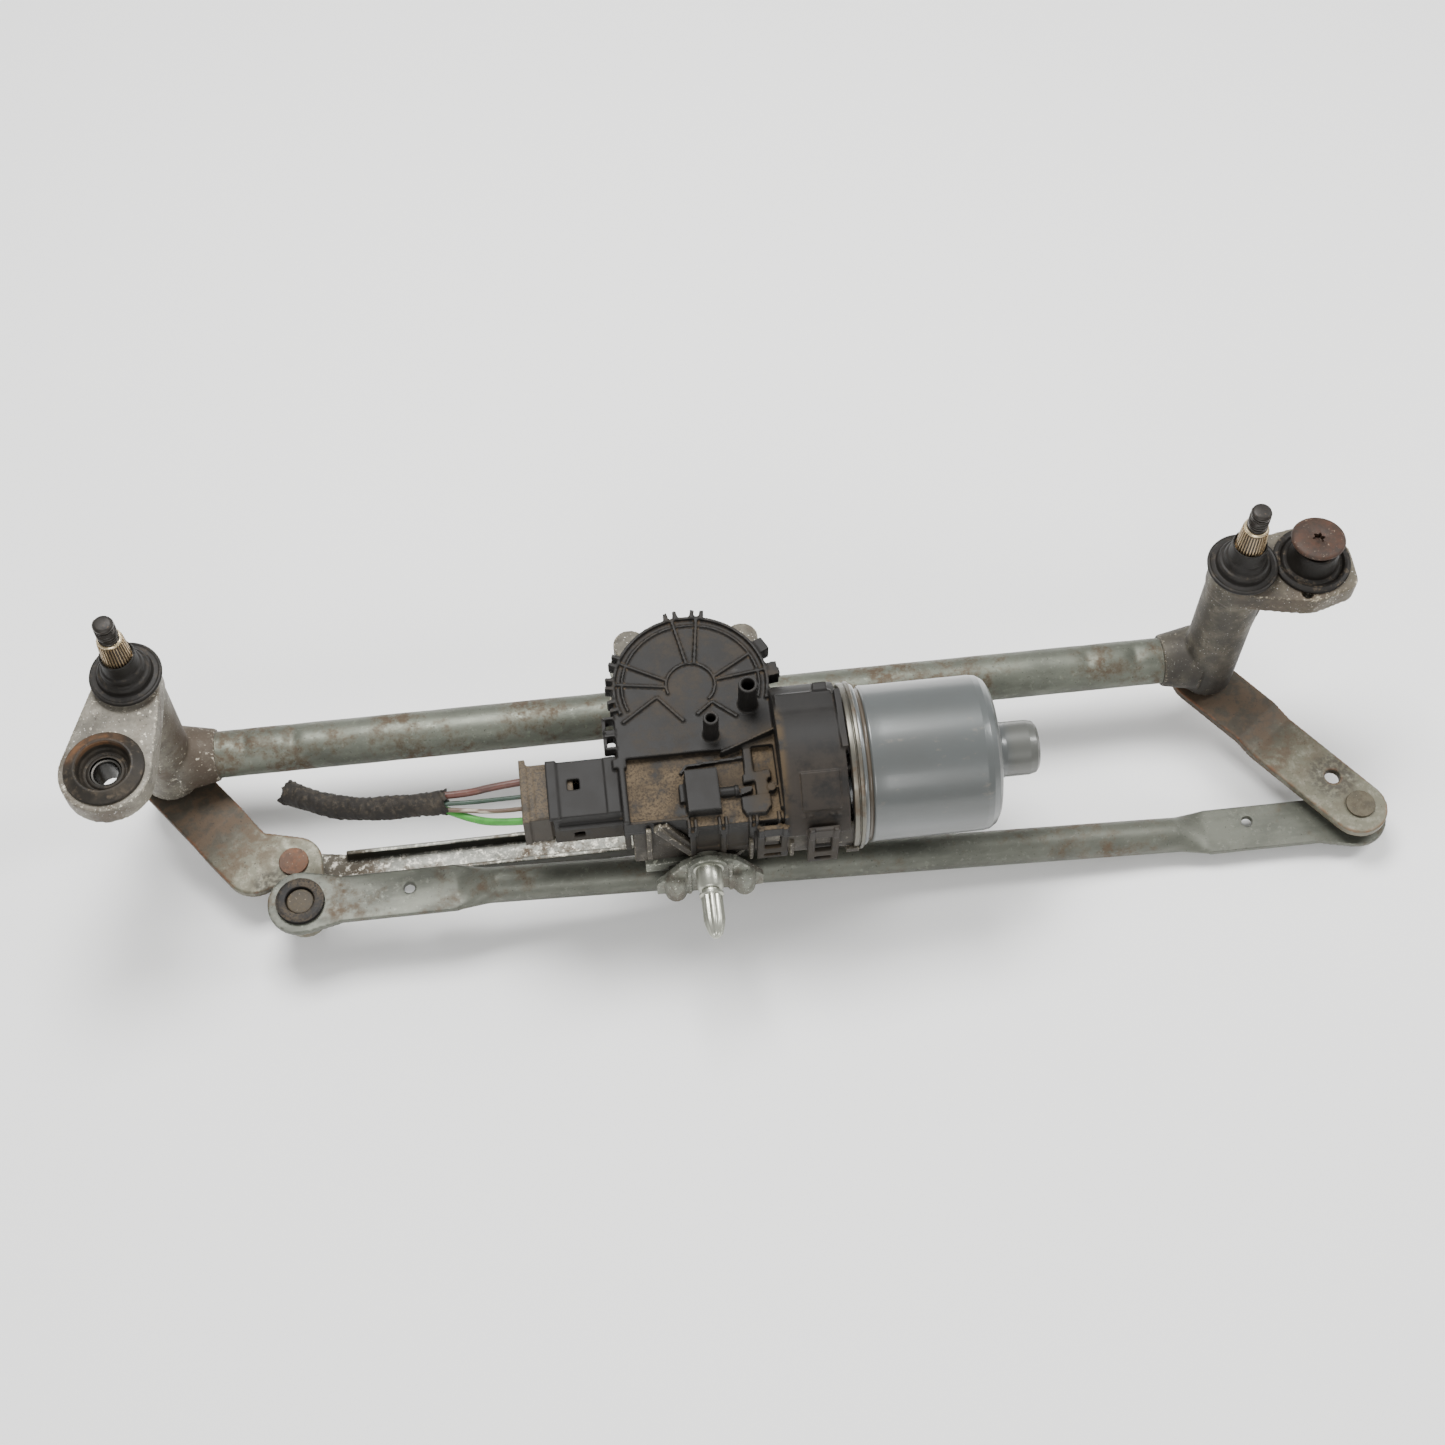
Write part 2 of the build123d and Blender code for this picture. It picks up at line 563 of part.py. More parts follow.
def crank_nut():
    z0 = CRANK_TOP - CRANK_T
    hexagon = extrude(RegularPolygon(NUT_AF / 2, 6, major_radius=False), NUT_T)
    nut = Pos(SHAFT_X, SHAFT_Y, z0 - NUT_T) * hexagon
    nut += post(SHAFT_X, SHAFT_Y, z0, z0 - 1.2, NUT_AF / 2 + 1.6)
    return nut - post(SHAFT_X, SHAFT_Y, z0 + 1, z0 - NUT_T - 1, THREAD_R)


def worm_gear():
    root = GEAR_PITCH_R - 1.05 * GEAR_MODULE
    tip = GEAR_PITCH_R + 0.9 * GEAR_MODULE
    pitch = 360.0 / GEAR_TEETH
    root_half = math.degrees((LEAD / 2 + 0.30) / 2 / root)
    tip_half = math.degrees((LEAD / 2 - 0.62) / 2 / tip)
    points = []
    for k in range(GEAR_TEETH):
        centre = k * pitch + pitch / 2
        points += [polar(root, centre - root_half), polar(tip, centre - tip_half),
                   polar(tip, centre + tip_half), polar(root, centre + root_half)]
    z0 = MOTOR_Z - GEAR_FACE / 2
    gear = extrude(Polygon(*points, align=None), GEAR_FACE)
    gear = Pos(SHAFT_X, SHAFT_Y, z0) * gear
    groove = post(0, 0, z0 + GEAR_FACE - 2.5, z0 + GEAR_FACE + 1, root - 4)
    groove -= post(0, 0, z0 + GEAR_FACE - 3, z0 + GEAR_FACE + 2, 12)
    gear -= Pos(SHAFT_X, SHAFT_Y, 0) * groove
    gear -= Pos(SHAFT_X, SHAFT_Y, -GEAR_FACE + 2.5 - 3.5) * groove
    return gear - post(SHAFT_X, SHAFT_Y, z0 - 1, z0 + GEAR_FACE + 1, OUTPUT_R)


def output_bush():
    z0, z1 = BOWL_BOTTOM - 18.0, BOWL_BOTTOM + 3.0
    bush = post(SHAFT_X, SHAFT_Y, z0, z1, OUTPUT_BUSH_R)
    return bush - post(SHAFT_X, SHAFT_Y, z0 - 1, z1 + 1, OUTPUT_R + RUN_GAP)


def armature_shaft():
    """The motor shaft, with a single-start worm rolled on it beside the worm gear."""
    core_r = WORM_PITCH_R - 1.15 * GEAR_MODULE
    tip_r = WORM_PITCH_R + WORM_TIP * GEAR_MODULE
    turns = 7
    height = turns * LEAD
    start = SHAFT_X - height / 2 + LEAD / 4
    shaft = bar_x(190.0, NOSE_X1 - 4.0, MOTOR_Y, MOTOR_Z, ARMATURE_SHAFT_R)
    shaft += bar_x(start - 3, start + height + 3, MOTOR_Y, MOTOR_Z, core_r)
    flank = LEAD / 2 - BACKLASH
    path = Helix(pitch=LEAD, height=height, radius=core_r)
    profile = Polyline((core_r - 0.3, -flank / 2 - 0.25), (tip_r, -flank / 2 + 0.22),
                       (tip_r, flank / 2 - 0.22), (core_r - 0.3, flank / 2 + 0.25), close=True)
    profile = make_face(Plane.XZ * profile)
    thread = sweep(profile, path=path, is_frenet=True)
    return shaft + Pos(start, MOTOR_Y, MOTOR_Z) * Rot(0, 90, 0) * thread


def armature_core():
    x0, x1 = CAN_X0 + 10, CAN_X1 - 11
    core = bar_x(x0, x1, MOTOR_Y, MOTOR_Z, ARMATURE_R)
    core -= bar_x(x0 - 1, x1 + 1, MOTOR_Y, MOTOR_Z, ARMATURE_SHAFT_R)
    for k in range(10):
        y, z = polar(15.5, 36 * k)
        core -= bar_x(x0 - 1, x1 + 1, MOTOR_Y + y, MOTOR_Z + z, 3.6)
        gap = block(x0 - 1, x1 + 1, 14, 26, -1.1, 1.1)
        core -= Pos(0, MOTOR_Y, MOTOR_Z) * Rot(36 * k, 0, 0) * gap
    return core


def armature_windings():
    x0, x1 = CAN_X0 + 10, CAN_X1 - 11
    pieces = []
    for a, b in ((x0 - 6, x0), (x1, x1 + 6)):
        ring = bar_x(a, b, MOTOR_Y, MOTOR_Z, 19.5) - bar_x(a - 1, b + 1, MOTOR_Y, MOTOR_Z, 7.0)
        pieces.append(ring)
    for k in range(10):
        y, z = polar(15.5, 36 * k)
        pieces.append(bar_x(x0, x1, MOTOR_Y + y, MOTOR_Z + z, 3.5))
    return pieces


def commutator():
    x0, x1 = COMMUTATOR_X, COMMUTATOR_X + 14.0
    drum = bar_x(x0, x1, MOTOR_Y, MOTOR_Z, COMMUTATOR_R)
    drum -= bar_x(x0 - 1, x1 + 1, MOTOR_Y, MOTOR_Z, ARMATURE_SHAFT_R)
    for k in range(10):
        slot = block(x0 - 1, x1 - 2, COMMUTATOR_R - 1, COMMUTATOR_R + 1, -0.25, 0.25)
        drum -= Pos(0, MOTOR_Y, MOTOR_Z) * Rot(36 * k + 18, 0, 0) * slot
    return drum


def brush_gear():
    """The brush plate, the two carbon brushes and their springs."""
    x0 = BRUSH_X
    plate = bar_x(x0, x0 + 2, MOTOR_Y, MOTOR_Z, BARREL_R - BARREL_WALL)
    plate -= bar_x(x0 - 1, x0 + 3, MOTOR_Y, MOTOR_Z, COMMUTATOR_R + 1.0)
    plate &= block(x0 - 2, x0 + 4, MOTOR_Y - 28, MOTOR_Y + 28, BOWL_BOTTOM + 3, COVER_LOW_TOP - 2 * COVER_T)
    brushes = []
    springs = []
    reach = COMMUTATOR_R + FACE_GAP
    for side in (-1, 1):
        inner = MOTOR_Y + side * reach
        outer = inner + side * 8
        guide = block(x0 + 2, x0 + 11.5, inner + side * 1.5, inner + side * 14, MOTOR_Z - 4.2, MOTOR_Z + 4.2)
        guide -= block(x0 + 3.5, x0 + 10, inner, inner + side * 12.6, MOTOR_Z - 3, MOTOR_Z + 3)
        plate += guide
        brushes.append(block(x0 + 3.6, x0 + 9.9, inner, outer, MOTOR_Z - 2.9, MOTOR_Z + 2.9))
        coil = bar_y(outer, inner + side * 12.5, x0 + 6.75, MOTOR_Z, 2.5)
        springs.append(coil - bar_y(outer - side, inner + side * 13, x0 + 6.75, MOTOR_Z, 1.7))
    return plate, brushes, springs


def magnets():
    x0, x1 = CAN_X0 + 7, CAN_X1 - 8
    ring = bar_x(x0, x1, MOTOR_Y, MOTOR_Z, CAN_R - CAN_WALL)
    ring -= bar_x(x0 - 1, x1 + 1, MOTOR_Y, MOTOR_Z, ARMATURE_R + 0.7)
    gap = block(x0 - 1, x1 + 1, MOTOR_Y - 40, MOTOR_Y + 40, MOTOR_Z - 7, MOTOR_Z + 7)
    return (ring - gap).solids()


def motor_can():
    shell = bar_x(CAN_X0, CAN_X1, MOTOR_Y, MOTOR_Z, CAN_R)
    edge = shell.edges().filter_by(GeomType.CIRCLE).sort_by(Axis.X)[-1]
    shell = fillet(edge, CAN_SHOULDER)
    shell += bar_x(CAN_X0, CAN_X0 + 2.4, MOTOR_Y, MOTOR_Z, CAN_R + 1.2)
    inner = bar_x(CAN_X0 - 1, CAN_X1 - CAN_WALL, MOTOR_Y, MOTOR_Z, CAN_R - CAN_WALL)
    edge = inner.edges().filter_by(GeomType.CIRCLE).sort_by(Axis.X)[-1]
    inner = fillet(edge, CAN_SHOULDER - CAN_WALL)
    nose = bar_x(CAN_X1 - 1, NOSE_X1, MOTOR_Y, MOTOR_Z, CAN_NOSE_R)
    edge = nose.edges().filter_by(GeomType.CIRCLE).sort_by(Axis.X)[-1]
    nose = fillet(edge, 2.0)
    shell = shell + nose - inner
    return shell - bar_x(CAN_X1 - 3, NOSE_X1 - CAN_WALL, MOTOR_Y, MOTOR_Z, CAN_NOSE_R - CAN_WALL)


def rear_bearing():
    x0, x1 = CAN_X1, CAN_X1 + 10
    return bar_x(x0, x1, MOTOR_Y, MOTOR_Z, CAN_NOSE_R - CAN_WALL) - bar_x(
        x0 - 1, x1 + 1, MOTOR_Y, MOTOR_Z, ARMATURE_SHAFT_R + RUN_GAP)


def front_bearing():
    x0, x1 = 230.0, 240.0
    return bar_x(x0, x1, MOTOR_Y, MOTOR_Z, BEARING_R) - bar_x(
        x0 - 1, x1 + 1, MOTOR_Y, MOTOR_Z, ARMATURE_SHAFT_R + RUN_GAP)


# ---------------------------------------------------------------- gear housing and cover
def lug_spots():
    spots = []
    for angle in LUG_ANGLES:
        dx, dy = polar(LUG_RADIUS, angle)
        spots.append((SHAFT_X + dx, SHAFT_Y + dy))
    return spots


def gear_housing():
    z0, z1 = BOWL_BOTTOM, BOWL_TOP
    floor = z0 + 3.0
    body = post(SHAFT_X, SHAFT_Y, z0, z1, BOWL_R)
    body += post(SHAFT_X, SHAFT_Y, z1 - RIM_T, z1, RIM_R)
    body += block(COVER_X0 + 3, BARREL_X0 + 4, COVER_FRONT + 1, MOTOR_Y + 14, z0, z1)
    barrel = bar_x(BARREL_X0, CAN_X0, MOTOR_Y, MOTOR_Z, BARREL_R)
    low_half = block(BARREL_X0 - 1, CAN_X0 + 1, MOTOR_Y - 40, MOTOR_Y + 40, z0 - 14, z1)
    body += barrel & low_half
    body += bar_x(CAN_X0 - FLANGE_T, CAN_X0, MOTOR_Y, MOTOR_Z, BARREL_R)
    for x, y in lug_spots():
        inward = (x + 0.4 * (SHAFT_X - x), y + 0.4 * (SHAFT_Y - y), LUG_R + 1)
        body += hull_plate([(x, y, LUG_R), inward], z0, LUG_TOP)
    body += post(SHAFT_X, SHAFT_Y, z0 - 18, z0 + 1, OUTPUT_BOSS_R)
    body -= post(SHAFT_X, SHAFT_Y, floor, z1 + 1, BOWL_BORE_R)
    body -= block(COVER_X0 + 5, 228.0, COVER_FRONT + 4, MOTOR_Y + 12, floor, z1 + 1)
    body -= bar_x(BARREL_X0 - 1, CAN_X0 + 1, MOTOR_Y, MOTOR_Z, BARREL_R - BARREL_WALL)
    body -= block(BARREL_X0 - 3, BARREL_X0 + 5, COVER_FRONT + 4, MOTOR_Y + 12, floor, z1 + 1)
    body -= bar_x(226.0, BARREL_X0, MOTOR_Y, MOTOR_Z, BEARING_R)
    body -= post(SHAFT_X, SHAFT_Y, z0 - 19, floor + 1, OUTPUT_BUSH_R)
    for x, y in lug_spots():
        body -= post(x, y, z0 - 1, LUG_TOP - 2.5, SCREW_R)
    return body


def cover_outline(grow):
    """The cover's plan outline: a round gear end and a straight-sided electronics end."""
    round_end = Pos(SHAFT_X, SHAFT_Y) * Circle(COVER_R + grow)
    x0, x1 = COVER_X0 - grow, BARREL_X0 + grow
    y0, y1 = COVER_FRONT - grow, SHAFT_Y
    square_end = Pos((x0 + x1) / 2, (y0 + y1) / 2) * Rectangle(x1 - x0, y1 - y0)
    return round_end + square_end


def terminal_boxes(grow):
    """The four flat terminals, from inside the connector's mouth to under the circuit board."""
    y0, y1 = SOCKET_Y
    z = BOARD_TOP - BOARD_T - TERMINAL_T / 2
    step = (y1 - y0 - 10.0) / 3
    boxes = []
    for k in range(4):
        y = y0 + 5.0 + k * step
        boxes.append(block(SOCKET_X0 + 9.0, COVER_X0 + 8.0, y - TERMINAL_W / 2 - grow, y + TERMINAL_W / 2 + grow,
                           z - TERMINAL_T / 2 - grow, z + TERMINAL_T / 2 + grow))
    return boxes


def gear_cover():
    rim_low = BOWL_TOP
    outer = Pos(0, 0, rim_low) * extrude(cover_outline(0), COVER_TOP - rim_low)
    inner = Pos(0, 0, rim_low - 1) * extrude(cover_outline(-COVER_T), COVER_TOP - COVER_T - rim_low + 1)
    body = outer - inner
    body -= block(COVER_X0 - 5, BARREL_X0 - 1, COVER_FRONT - 5, COVER_STEP_Y, COVER_LOW_TOP, COVER_TOP + 1)
    body += block(COVER_X0, BARREL_X0, COVER_FRONT, COVER_STEP_Y + COVER_T, COVER_LOW_TOP - COVER_T, COVER_LOW_TOP)
    shell = bar_x(BARREL_X0, CAN_X0 - FLANGE_T - 2.0, MOTOR_Y, MOTOR_Z, BARREL_R + LABEL_T)
    shell &= block(BARREL_X0, CAN_X0, MOTOR_Y - 40, MOTOR_Y + 40, rim_low, MOTOR_Z + 40)
    body += shell
    body -= bar_x(BARREL_X0 + COVER_T, CAN_X0, MOTOR_Y, MOTOR_Z, BARREL_R)
    body -= block(BARREL_X0 - 3, BARREL_X0 + COVER_T + 1, MOTOR_Y - 15, MOTOR_Y + 15,
                  rim_low - 1, COVER_LOW_TOP - COVER_T)
    body += block(COVER_X0, COVER_X0 + COVER_T, COVER_FRONT, COVER_STEP_Y + 3, SOCKET_Z[0], COVER_TOP)
    y0, y1 = SOCKET_Y
    zb, zt = SOCKET_Z
    w = SOCKET_WALL
    body += block(SOCKET_X0, COVER_X0 + 1, y0, y1, zb, zt)
    body -= block(SOCKET_X0 - 1, COVER_X0 - 1.5, y0 + w, y1 - w, zb + w, zt - w)
    mid = (y0 + y1) / 2
    body -= block(SOCKET_X0 + 6.5, SOCKET_X0 + 11, mid - 0.4, mid + 4.1, zt - w - 1, zt + 1)
    body -= block(SOCKET_X0 + 7.5, SOCKET_X0 + 11.5, y0 - 1, y0 + w + 1, zb + 3.5, zb + 7.5)
    for terminal in terminal_boxes(0.05):
        body -= terminal
    body += block(206.0, 218.5, -72.0, -54.5, COVER_LOW_TOP - 1, CAP_Z - 20.0)
    for x, y, top, outer_r, bore_r in VENTS:
        body += post(x, y, COVER_TOP - 1, CAP_Z + top, outer_r)
        body -= post(x, y, COVER_TOP + 1, CAP_Z + top + 1, bore_r)
    return body


def cover_seal():
    outer = Pos(0, 0, BOWL_TOP) * extrude(cover_outline(-COVER_T - 0.2), SEAL_T)
    inner = Pos(0, 0, BOWL_TOP - 1) * extrude(cover_outline(-COVER_T - 1.8), SEAL_T + 2)
    return outer - inner


def circuit_board():
    top = BOARD_TOP
    board = block(COVER_X0 + 4.5, BARREL_X0 - 3, COVER_FRONT + 3.5, COVER_STEP_Y - 3, top - BOARD_T, top)
    for x, y, w, d, h in CHIPS:
        board += block(x, x + w, y, y + d, top, top + h)
    return board


def connector_terminals():
    return terminal_boxes(0)


def harness_plug():
    y0, y1 = SOCKET_Y
    zb, zt = SOCKET_Z
    g = SOCKET_WALL + PLUG_GAP
    body = block(SOCKET_X0 - 6.0, SOCKET_X0 + 8.7, y0 + g, y1 - g, zb + g, zt - g)
    body += block(PLUG_BACK + 2.5, SOCKET_X0 - 1.0, y0 + 1.2, y1 + 1.0, zb + 0.6, zt - 2.2)
    body += block(PLUG_BACK, PLUG_BACK + 2.6, y0 + 0.4, y1 + 3.4, zb, zt - 1.6)
    return body


# ---------------------------------------------------------------- bracket
def motor_bracket():
    z1 = BOWL_BOTTOM
    z0 = z1 - BRACKET_T
    plate = hull_plate([(x, y, 9.0) for x, y in lug_spots()], z0, z1)
    plate += hull_plate([(WING_X - 13, -62, 8), (WING_X + 13, -62, 8), (WING_X, WING_Y + 7, 7)], z0, z1)
    plate += block(WING_X - 8, WING_X + 8, WING_Y + BRACKET_T, -60, z0, z1)
    half = [(4, WING_TOP), (WING_W / 4, WING_TOP - 4), (WING_W / 2 - 4, WING_BOTTOM + 14),
            (WING_W / 2, WING_BOTTOM + 8), (WING_W / 2, WING_BOTTOM)]
    outline = [(-x, z) for x, z in half] + half[::-1]
    wing = extrude(make_face(Plane.XZ * Polyline(*outline, close=True)), BRACKET_T)
    wing = Pos(WING_X, WING_Y + BRACKET_T, 0) * wing
    for side in (-1, 1):
        x = WING_X + side * 13.5
        boss = post(x, WING_Y, WING_BOTTOM + 1, WING_BOTTOM + 12, 4.3)
        boss += Pos(x, WING_Y, WING_BOTTOM + 12) * Sphere(4.3)
        wing += boss & block(x - 10, x + 10, WING_Y - 10, WING_Y + 1, WING_BOTTOM - 1, WING_TOP)
        wing += block(WING_X + side * 7.4, WING_X + side * 8.8, WING_Y - 1.2, WING_Y + 1, WING_BOTTOM, PIN_Z + 2)
        web = Polyline((WING_Y + 1, z1), (-58, z1), (-58, z0 - 2), (WING_Y + 1, z0 - 8), close=True)
        web = extrude(make_face(Plane.YZ * web), BRACKET_T / 2, both=True)
        wing += Pos(WING_X + side * 9.5, 0, 0) * web
    wing += bar_y(WING_Y - 1.6, WING_Y + 1, PIN_X, PIN_Z, 7.6)
    leg = block(LEG_X, LEG_X + BRACKET_T, -74, -58, CAP_Z - 66, z1)
    leg += block(LEG_X, LEG_X + 9, -74, -71.5, CAP_Z - 66, z1)
    leg += block(LEG_X, LEG_X + 16, -74, -52, z0, z1)
    saddle = bar_x(SHAFT_X - 14, SHAFT_X + 14, TUBE_Y, TUBE_Z, TUBE_R + BRACKET_T)
    saddle &= block(SHAFT_X - 30, SHAFT_X + 30, TUBE_Y - 20, TUBE_Y + 20, TUBE_Z, TUBE_Z + 20)
    body = plate + wing + leg + saddle
    body -= bar_x(SHAFT_X - 40, SHAFT_X + 40, TUBE_Y, TUBE_Z, TUBE_R)
    body -= post(SHAFT_X, SHAFT_Y, TUBE_Z - 10, z1 + 1, OUTPUT_BOSS_R + 0.5)
    body -= bar_y(WING_Y - 5, WING_Y + 8, PIN_X, PIN_Z, PIN_RIVET_R)
    for x, y in lug_spots():
        body -= post(x, y, z0 - 1, z1 + 1, SCREW_R + 0.2)
    return body


def locating_pin():
    y0 = WING_Y - 1.6
    profile = [
        (0, WING_Y + BRACKET_T + 1.5), (6.2, WING_Y + BRACKET_T + 1.5), (6.2, WING_Y + BRACKET_T),
        (PIN_RIVET_R, WING_Y + BRACKET_T), (PIN_RIVET_R, y0), (PIN_BASE_R + 1.1, y0),
        (PIN_BASE_R + 1.1, y0 - 1.0), (PIN_BASE_R, y0 - 1.0), (PIN_BASE_R, y0 - PIN_BASE_LEN),
        (PIN_R - 0.9, y0 - PIN_BASE_LEN - 0.7), (PIN_R - 0.9, y0 - PIN_BASE_LEN - 1.6),
        (PIN_R + 0.6, y0 - PIN_BASE_LEN - 2.0), (PIN_R + 0.6, y0 - PIN_BASE_LEN - 3.2),
        (PIN_R, y0 - PIN_BASE_LEN - 3.8), (PIN_R, y0 - PIN_LEN + 7.0), (PIN_R - 0.7, y0 - PIN_LEN + 3.5),
        (1.2, y0 - PIN_LEN), (0, y0 - PIN_LEN),
    ]
    face = make_face(Plane.XY * Polyline(*profile, close=True))
    return Pos(PIN_X, 0, PIN_Z) * revolve(face, Axis.Y)


def motor_mount_screws():
    z0 = BOWL_BOTTOM - BRACKET_T
    screws = []
    for x, y in lug_spots():
        screw = post(x, y, z0 - 3.5, z0, 4.8) + post(x, y, z0 - 1, z0 + 15, SCREW_R)
        screws.append(screw - post(x, y, z0 - 5, z0 - 2.0, 2.2))
    return screws


# ---------------------------------------------------------------- harness
def cord(points, radius):
    """A tube along straight runs joined by the largest arcs that the runs allow."""
    corners = [Vector(*p) for p in points]
    radii = []
    for before, here, after in zip(corners, corners[1:], corners[2:]):
        turn = (here - before).get_angle(after - here)
        run = min((here - before).length, (after - here).length)
        radii.append(0.45 * run / math.tan(math.radians(turn / 2)))
    path = FilletPolyline(*corners, radius=radii)
    print("cord radius", radius, "length", round(path.length, 1), "bends", [round(r, 1) for r in radii])
    start = Plane(origin=path @ 0, z_dir=path % 0)
    return sweep(start * Circle(radius), path=path)


LOOM_ROUTE = [(114.0, -46.6, CAP_Z - 41.8), (98.0, -46.4, CAP_Z - 42.6), (80.0, -44.6, CAP_Z - 44.6),
              (65.0, -39.8, CAP_Z - 46.2), (52.0, -32.6, CAP_Z - 46.6)]
WIRES = {
    "wire_brown_red": (THICK_WIRE_R, [(PLUG_BACK, -44.8, CAP_Z - 35.0), (132.5, -45.0, CAP_Z - 36.2),
                                      (122.0, -45.6, CAP_Z - 38.6), (111.5, -44.8, CAP_Z - 39.6)]),
    "wire_dark_green": (THIN_WIRE_R, [(PLUG_BACK, -50.4, CAP_Z - 36.5), (133.0, -49.8, CAP_Z - 37.8),
                                      (122.0, -48.8, CAP_Z - 40.0), (111.0, -48.2, CAP_Z - 39.8)]),
    "wire_white_brown": (THIN_WIRE_R, [(PLUG_BACK, -55.0, CAP_Z - 37.5), (133.0, -54.2, CAP_Z - 39.6),
                                       (122.0, -51.4, CAP_Z - 41.4), (111.0, -49.4, CAP_Z - 42.0)]),
    "wire_green": (THICK_WIRE_R, [(PLUG_BACK, -59.6, CAP_Z - 39.0), (133.0, -58.0, CAP_Z - 41.4),
                                  (122.5, -53.6, CAP_Z - 44.4), (112.0, -47.6, CAP_Z - 44.6)]),
}


# ---------------------------------------------------------------- write the parts
def main():
    os.makedirs("parts", exist_ok=True)
    save("frame_tube", frame_tube())
    left_ear = [(*LEFT_EAR, LEFT_EAR_R), LEFT_EAR_SHOULDER]
    right_ear = [(*RIGHT_EAR, RIGHT_EAR_R), RIGHT_EAR_CORNER, RIGHT_EAR_FOOT]
    ends = (("left", 0.0, LEFT_EAR, left_ear, 1), ("right", SPACING, RIGHT_EAR, right_ear, -1))
    for side, x, ear, ear_circles, way in ends:
        save(side + "_spindle_housing", spindle_housing(x, ear, ear_circles, way))
        save(side + "_mount_grommet", grommet(ear))
        save(side + "_mount_sleeve", sleeve(ear))
        save(side + "_spindle_bushes", *spindle_bushes(x))
        save(side + "_spindle", spindle(x))
        save(side + "_dust_cap", dust_cap(x))
        save(side + "_retaining_ring", retaining_ring(x))
        save(side + "_thrust_washers", *thrust_washers(x))
    save("right_mount_bolt", mount_bolt(RIGHT_EAR))
    save("left_arm", left_arm())
    save("right_arm", right_arm())
    ox, oy = OUTER_BALL
    ix, iy = INNER_BALL
    bx, by = CRANK_BALL
    save("left_outer_ball_stud", ball_stud(ox, oy, OUTER_BALL_Z, -1))
    save("left_inner_ball_stud", ball_stud(ix, iy, LOWER_BALL_Z, 1))
    save("right_ball_stud", ball_stud(SPACING + ox, oy, LOWER_BALL_Z, 1))
    save("long_link", long_link())
    save("long_link_left_socket", socket(ox, oy, OUTER_BALL_Z, 1, True, plate_z=OUTER_BALL_Z + 3))
    save("long_link_right_socket", socket(SPACING + ox, oy, LOWER_BALL_Z, -1, False, plate_z=LOWER_BALL_Z - 1.5))
    save("drag_link", drag_link())
    save("drag_link_socket", socket(ix, iy, LOWER_BALL_Z, -1, False, plate_z=DRAG_FLOOR_TOP - DRAG_T))
    crank_low = CRANK_TOP - CRANK_T
    crank_ball_z = DRAG_FLOOR_TOP + FACE_GAP + 1.3 + CRANK_BALL_R
    save("motor_crank", crank())
    save("crank_ball_stud", ball_stud(bx, by, crank_ball_z, 1, CRANK_BALL_R, crank_low, CRANK_TOP))
    save("crank_socket", socket(bx, by, crank_ball_z, -1, False, CRANK_BALL_R, CRANK_CUP_R))
    save("crank_nut", crank_nut())
    save("output_shaft", output_shaft())
    save("worm_gear", worm_gear())
    save("output_bush", output_bush())
    save("armature_shaft", armature_shaft())
    save("armature_core", armature_core())
    save("armature_windings", *armature_windings())
    save("commutator", commutator())
    plate, brushes, springs = brush_gear()
    save("brush_holder", plate)
    save("carbon_brushes", *brushes)
    save("brush_springs", *springs)
    save("field_magnets", *magnets())
    save("motor_can", motor_can())
    save("rear_bearing", rear_bearing())
    save("front_bearing", front_bearing())
    save("gear_housing", gear_housing())
    save("gear_cover", gear_cover())
    save("cover_seal", cover_seal())
    save("circuit_board", circuit_board())
    save("connector_terminals", *connector_terminals())
    save("motor_bracket", motor_bracket())
    save("locating_pin", locating_pin())
    save("motor_mount_screws", *motor_mount_screws())
    save("harness_plug", harness_plug())
    for name, (radius, route) in WIRES.items():
        save(name, cord(route, radius))
    save("harness_loom", cord(LOOM_ROUTE, LOOM_R))


main()
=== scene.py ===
import bmesh
import bpy
import json
import math
import numpy as np
from mathutils import Matrix, Vector


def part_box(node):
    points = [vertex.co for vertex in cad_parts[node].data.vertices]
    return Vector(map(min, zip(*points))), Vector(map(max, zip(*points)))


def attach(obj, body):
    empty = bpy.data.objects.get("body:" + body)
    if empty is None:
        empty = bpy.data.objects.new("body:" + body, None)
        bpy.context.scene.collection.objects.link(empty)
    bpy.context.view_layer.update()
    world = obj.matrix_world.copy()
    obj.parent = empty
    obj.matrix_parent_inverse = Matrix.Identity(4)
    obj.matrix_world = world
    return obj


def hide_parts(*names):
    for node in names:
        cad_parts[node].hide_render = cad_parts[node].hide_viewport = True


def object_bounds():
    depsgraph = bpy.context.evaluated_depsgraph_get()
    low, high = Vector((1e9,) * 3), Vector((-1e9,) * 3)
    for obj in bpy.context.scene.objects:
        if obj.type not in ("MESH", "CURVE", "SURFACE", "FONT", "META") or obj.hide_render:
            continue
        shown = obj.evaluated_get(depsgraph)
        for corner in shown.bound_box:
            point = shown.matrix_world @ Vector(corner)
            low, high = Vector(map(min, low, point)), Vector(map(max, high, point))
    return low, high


# Looks for a windshield wiper drive: cast ends, grommets, tube, geared motor, levers, links and a cut harness.
# Lengths below are in millimetres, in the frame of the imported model, and become metres in the meshes.

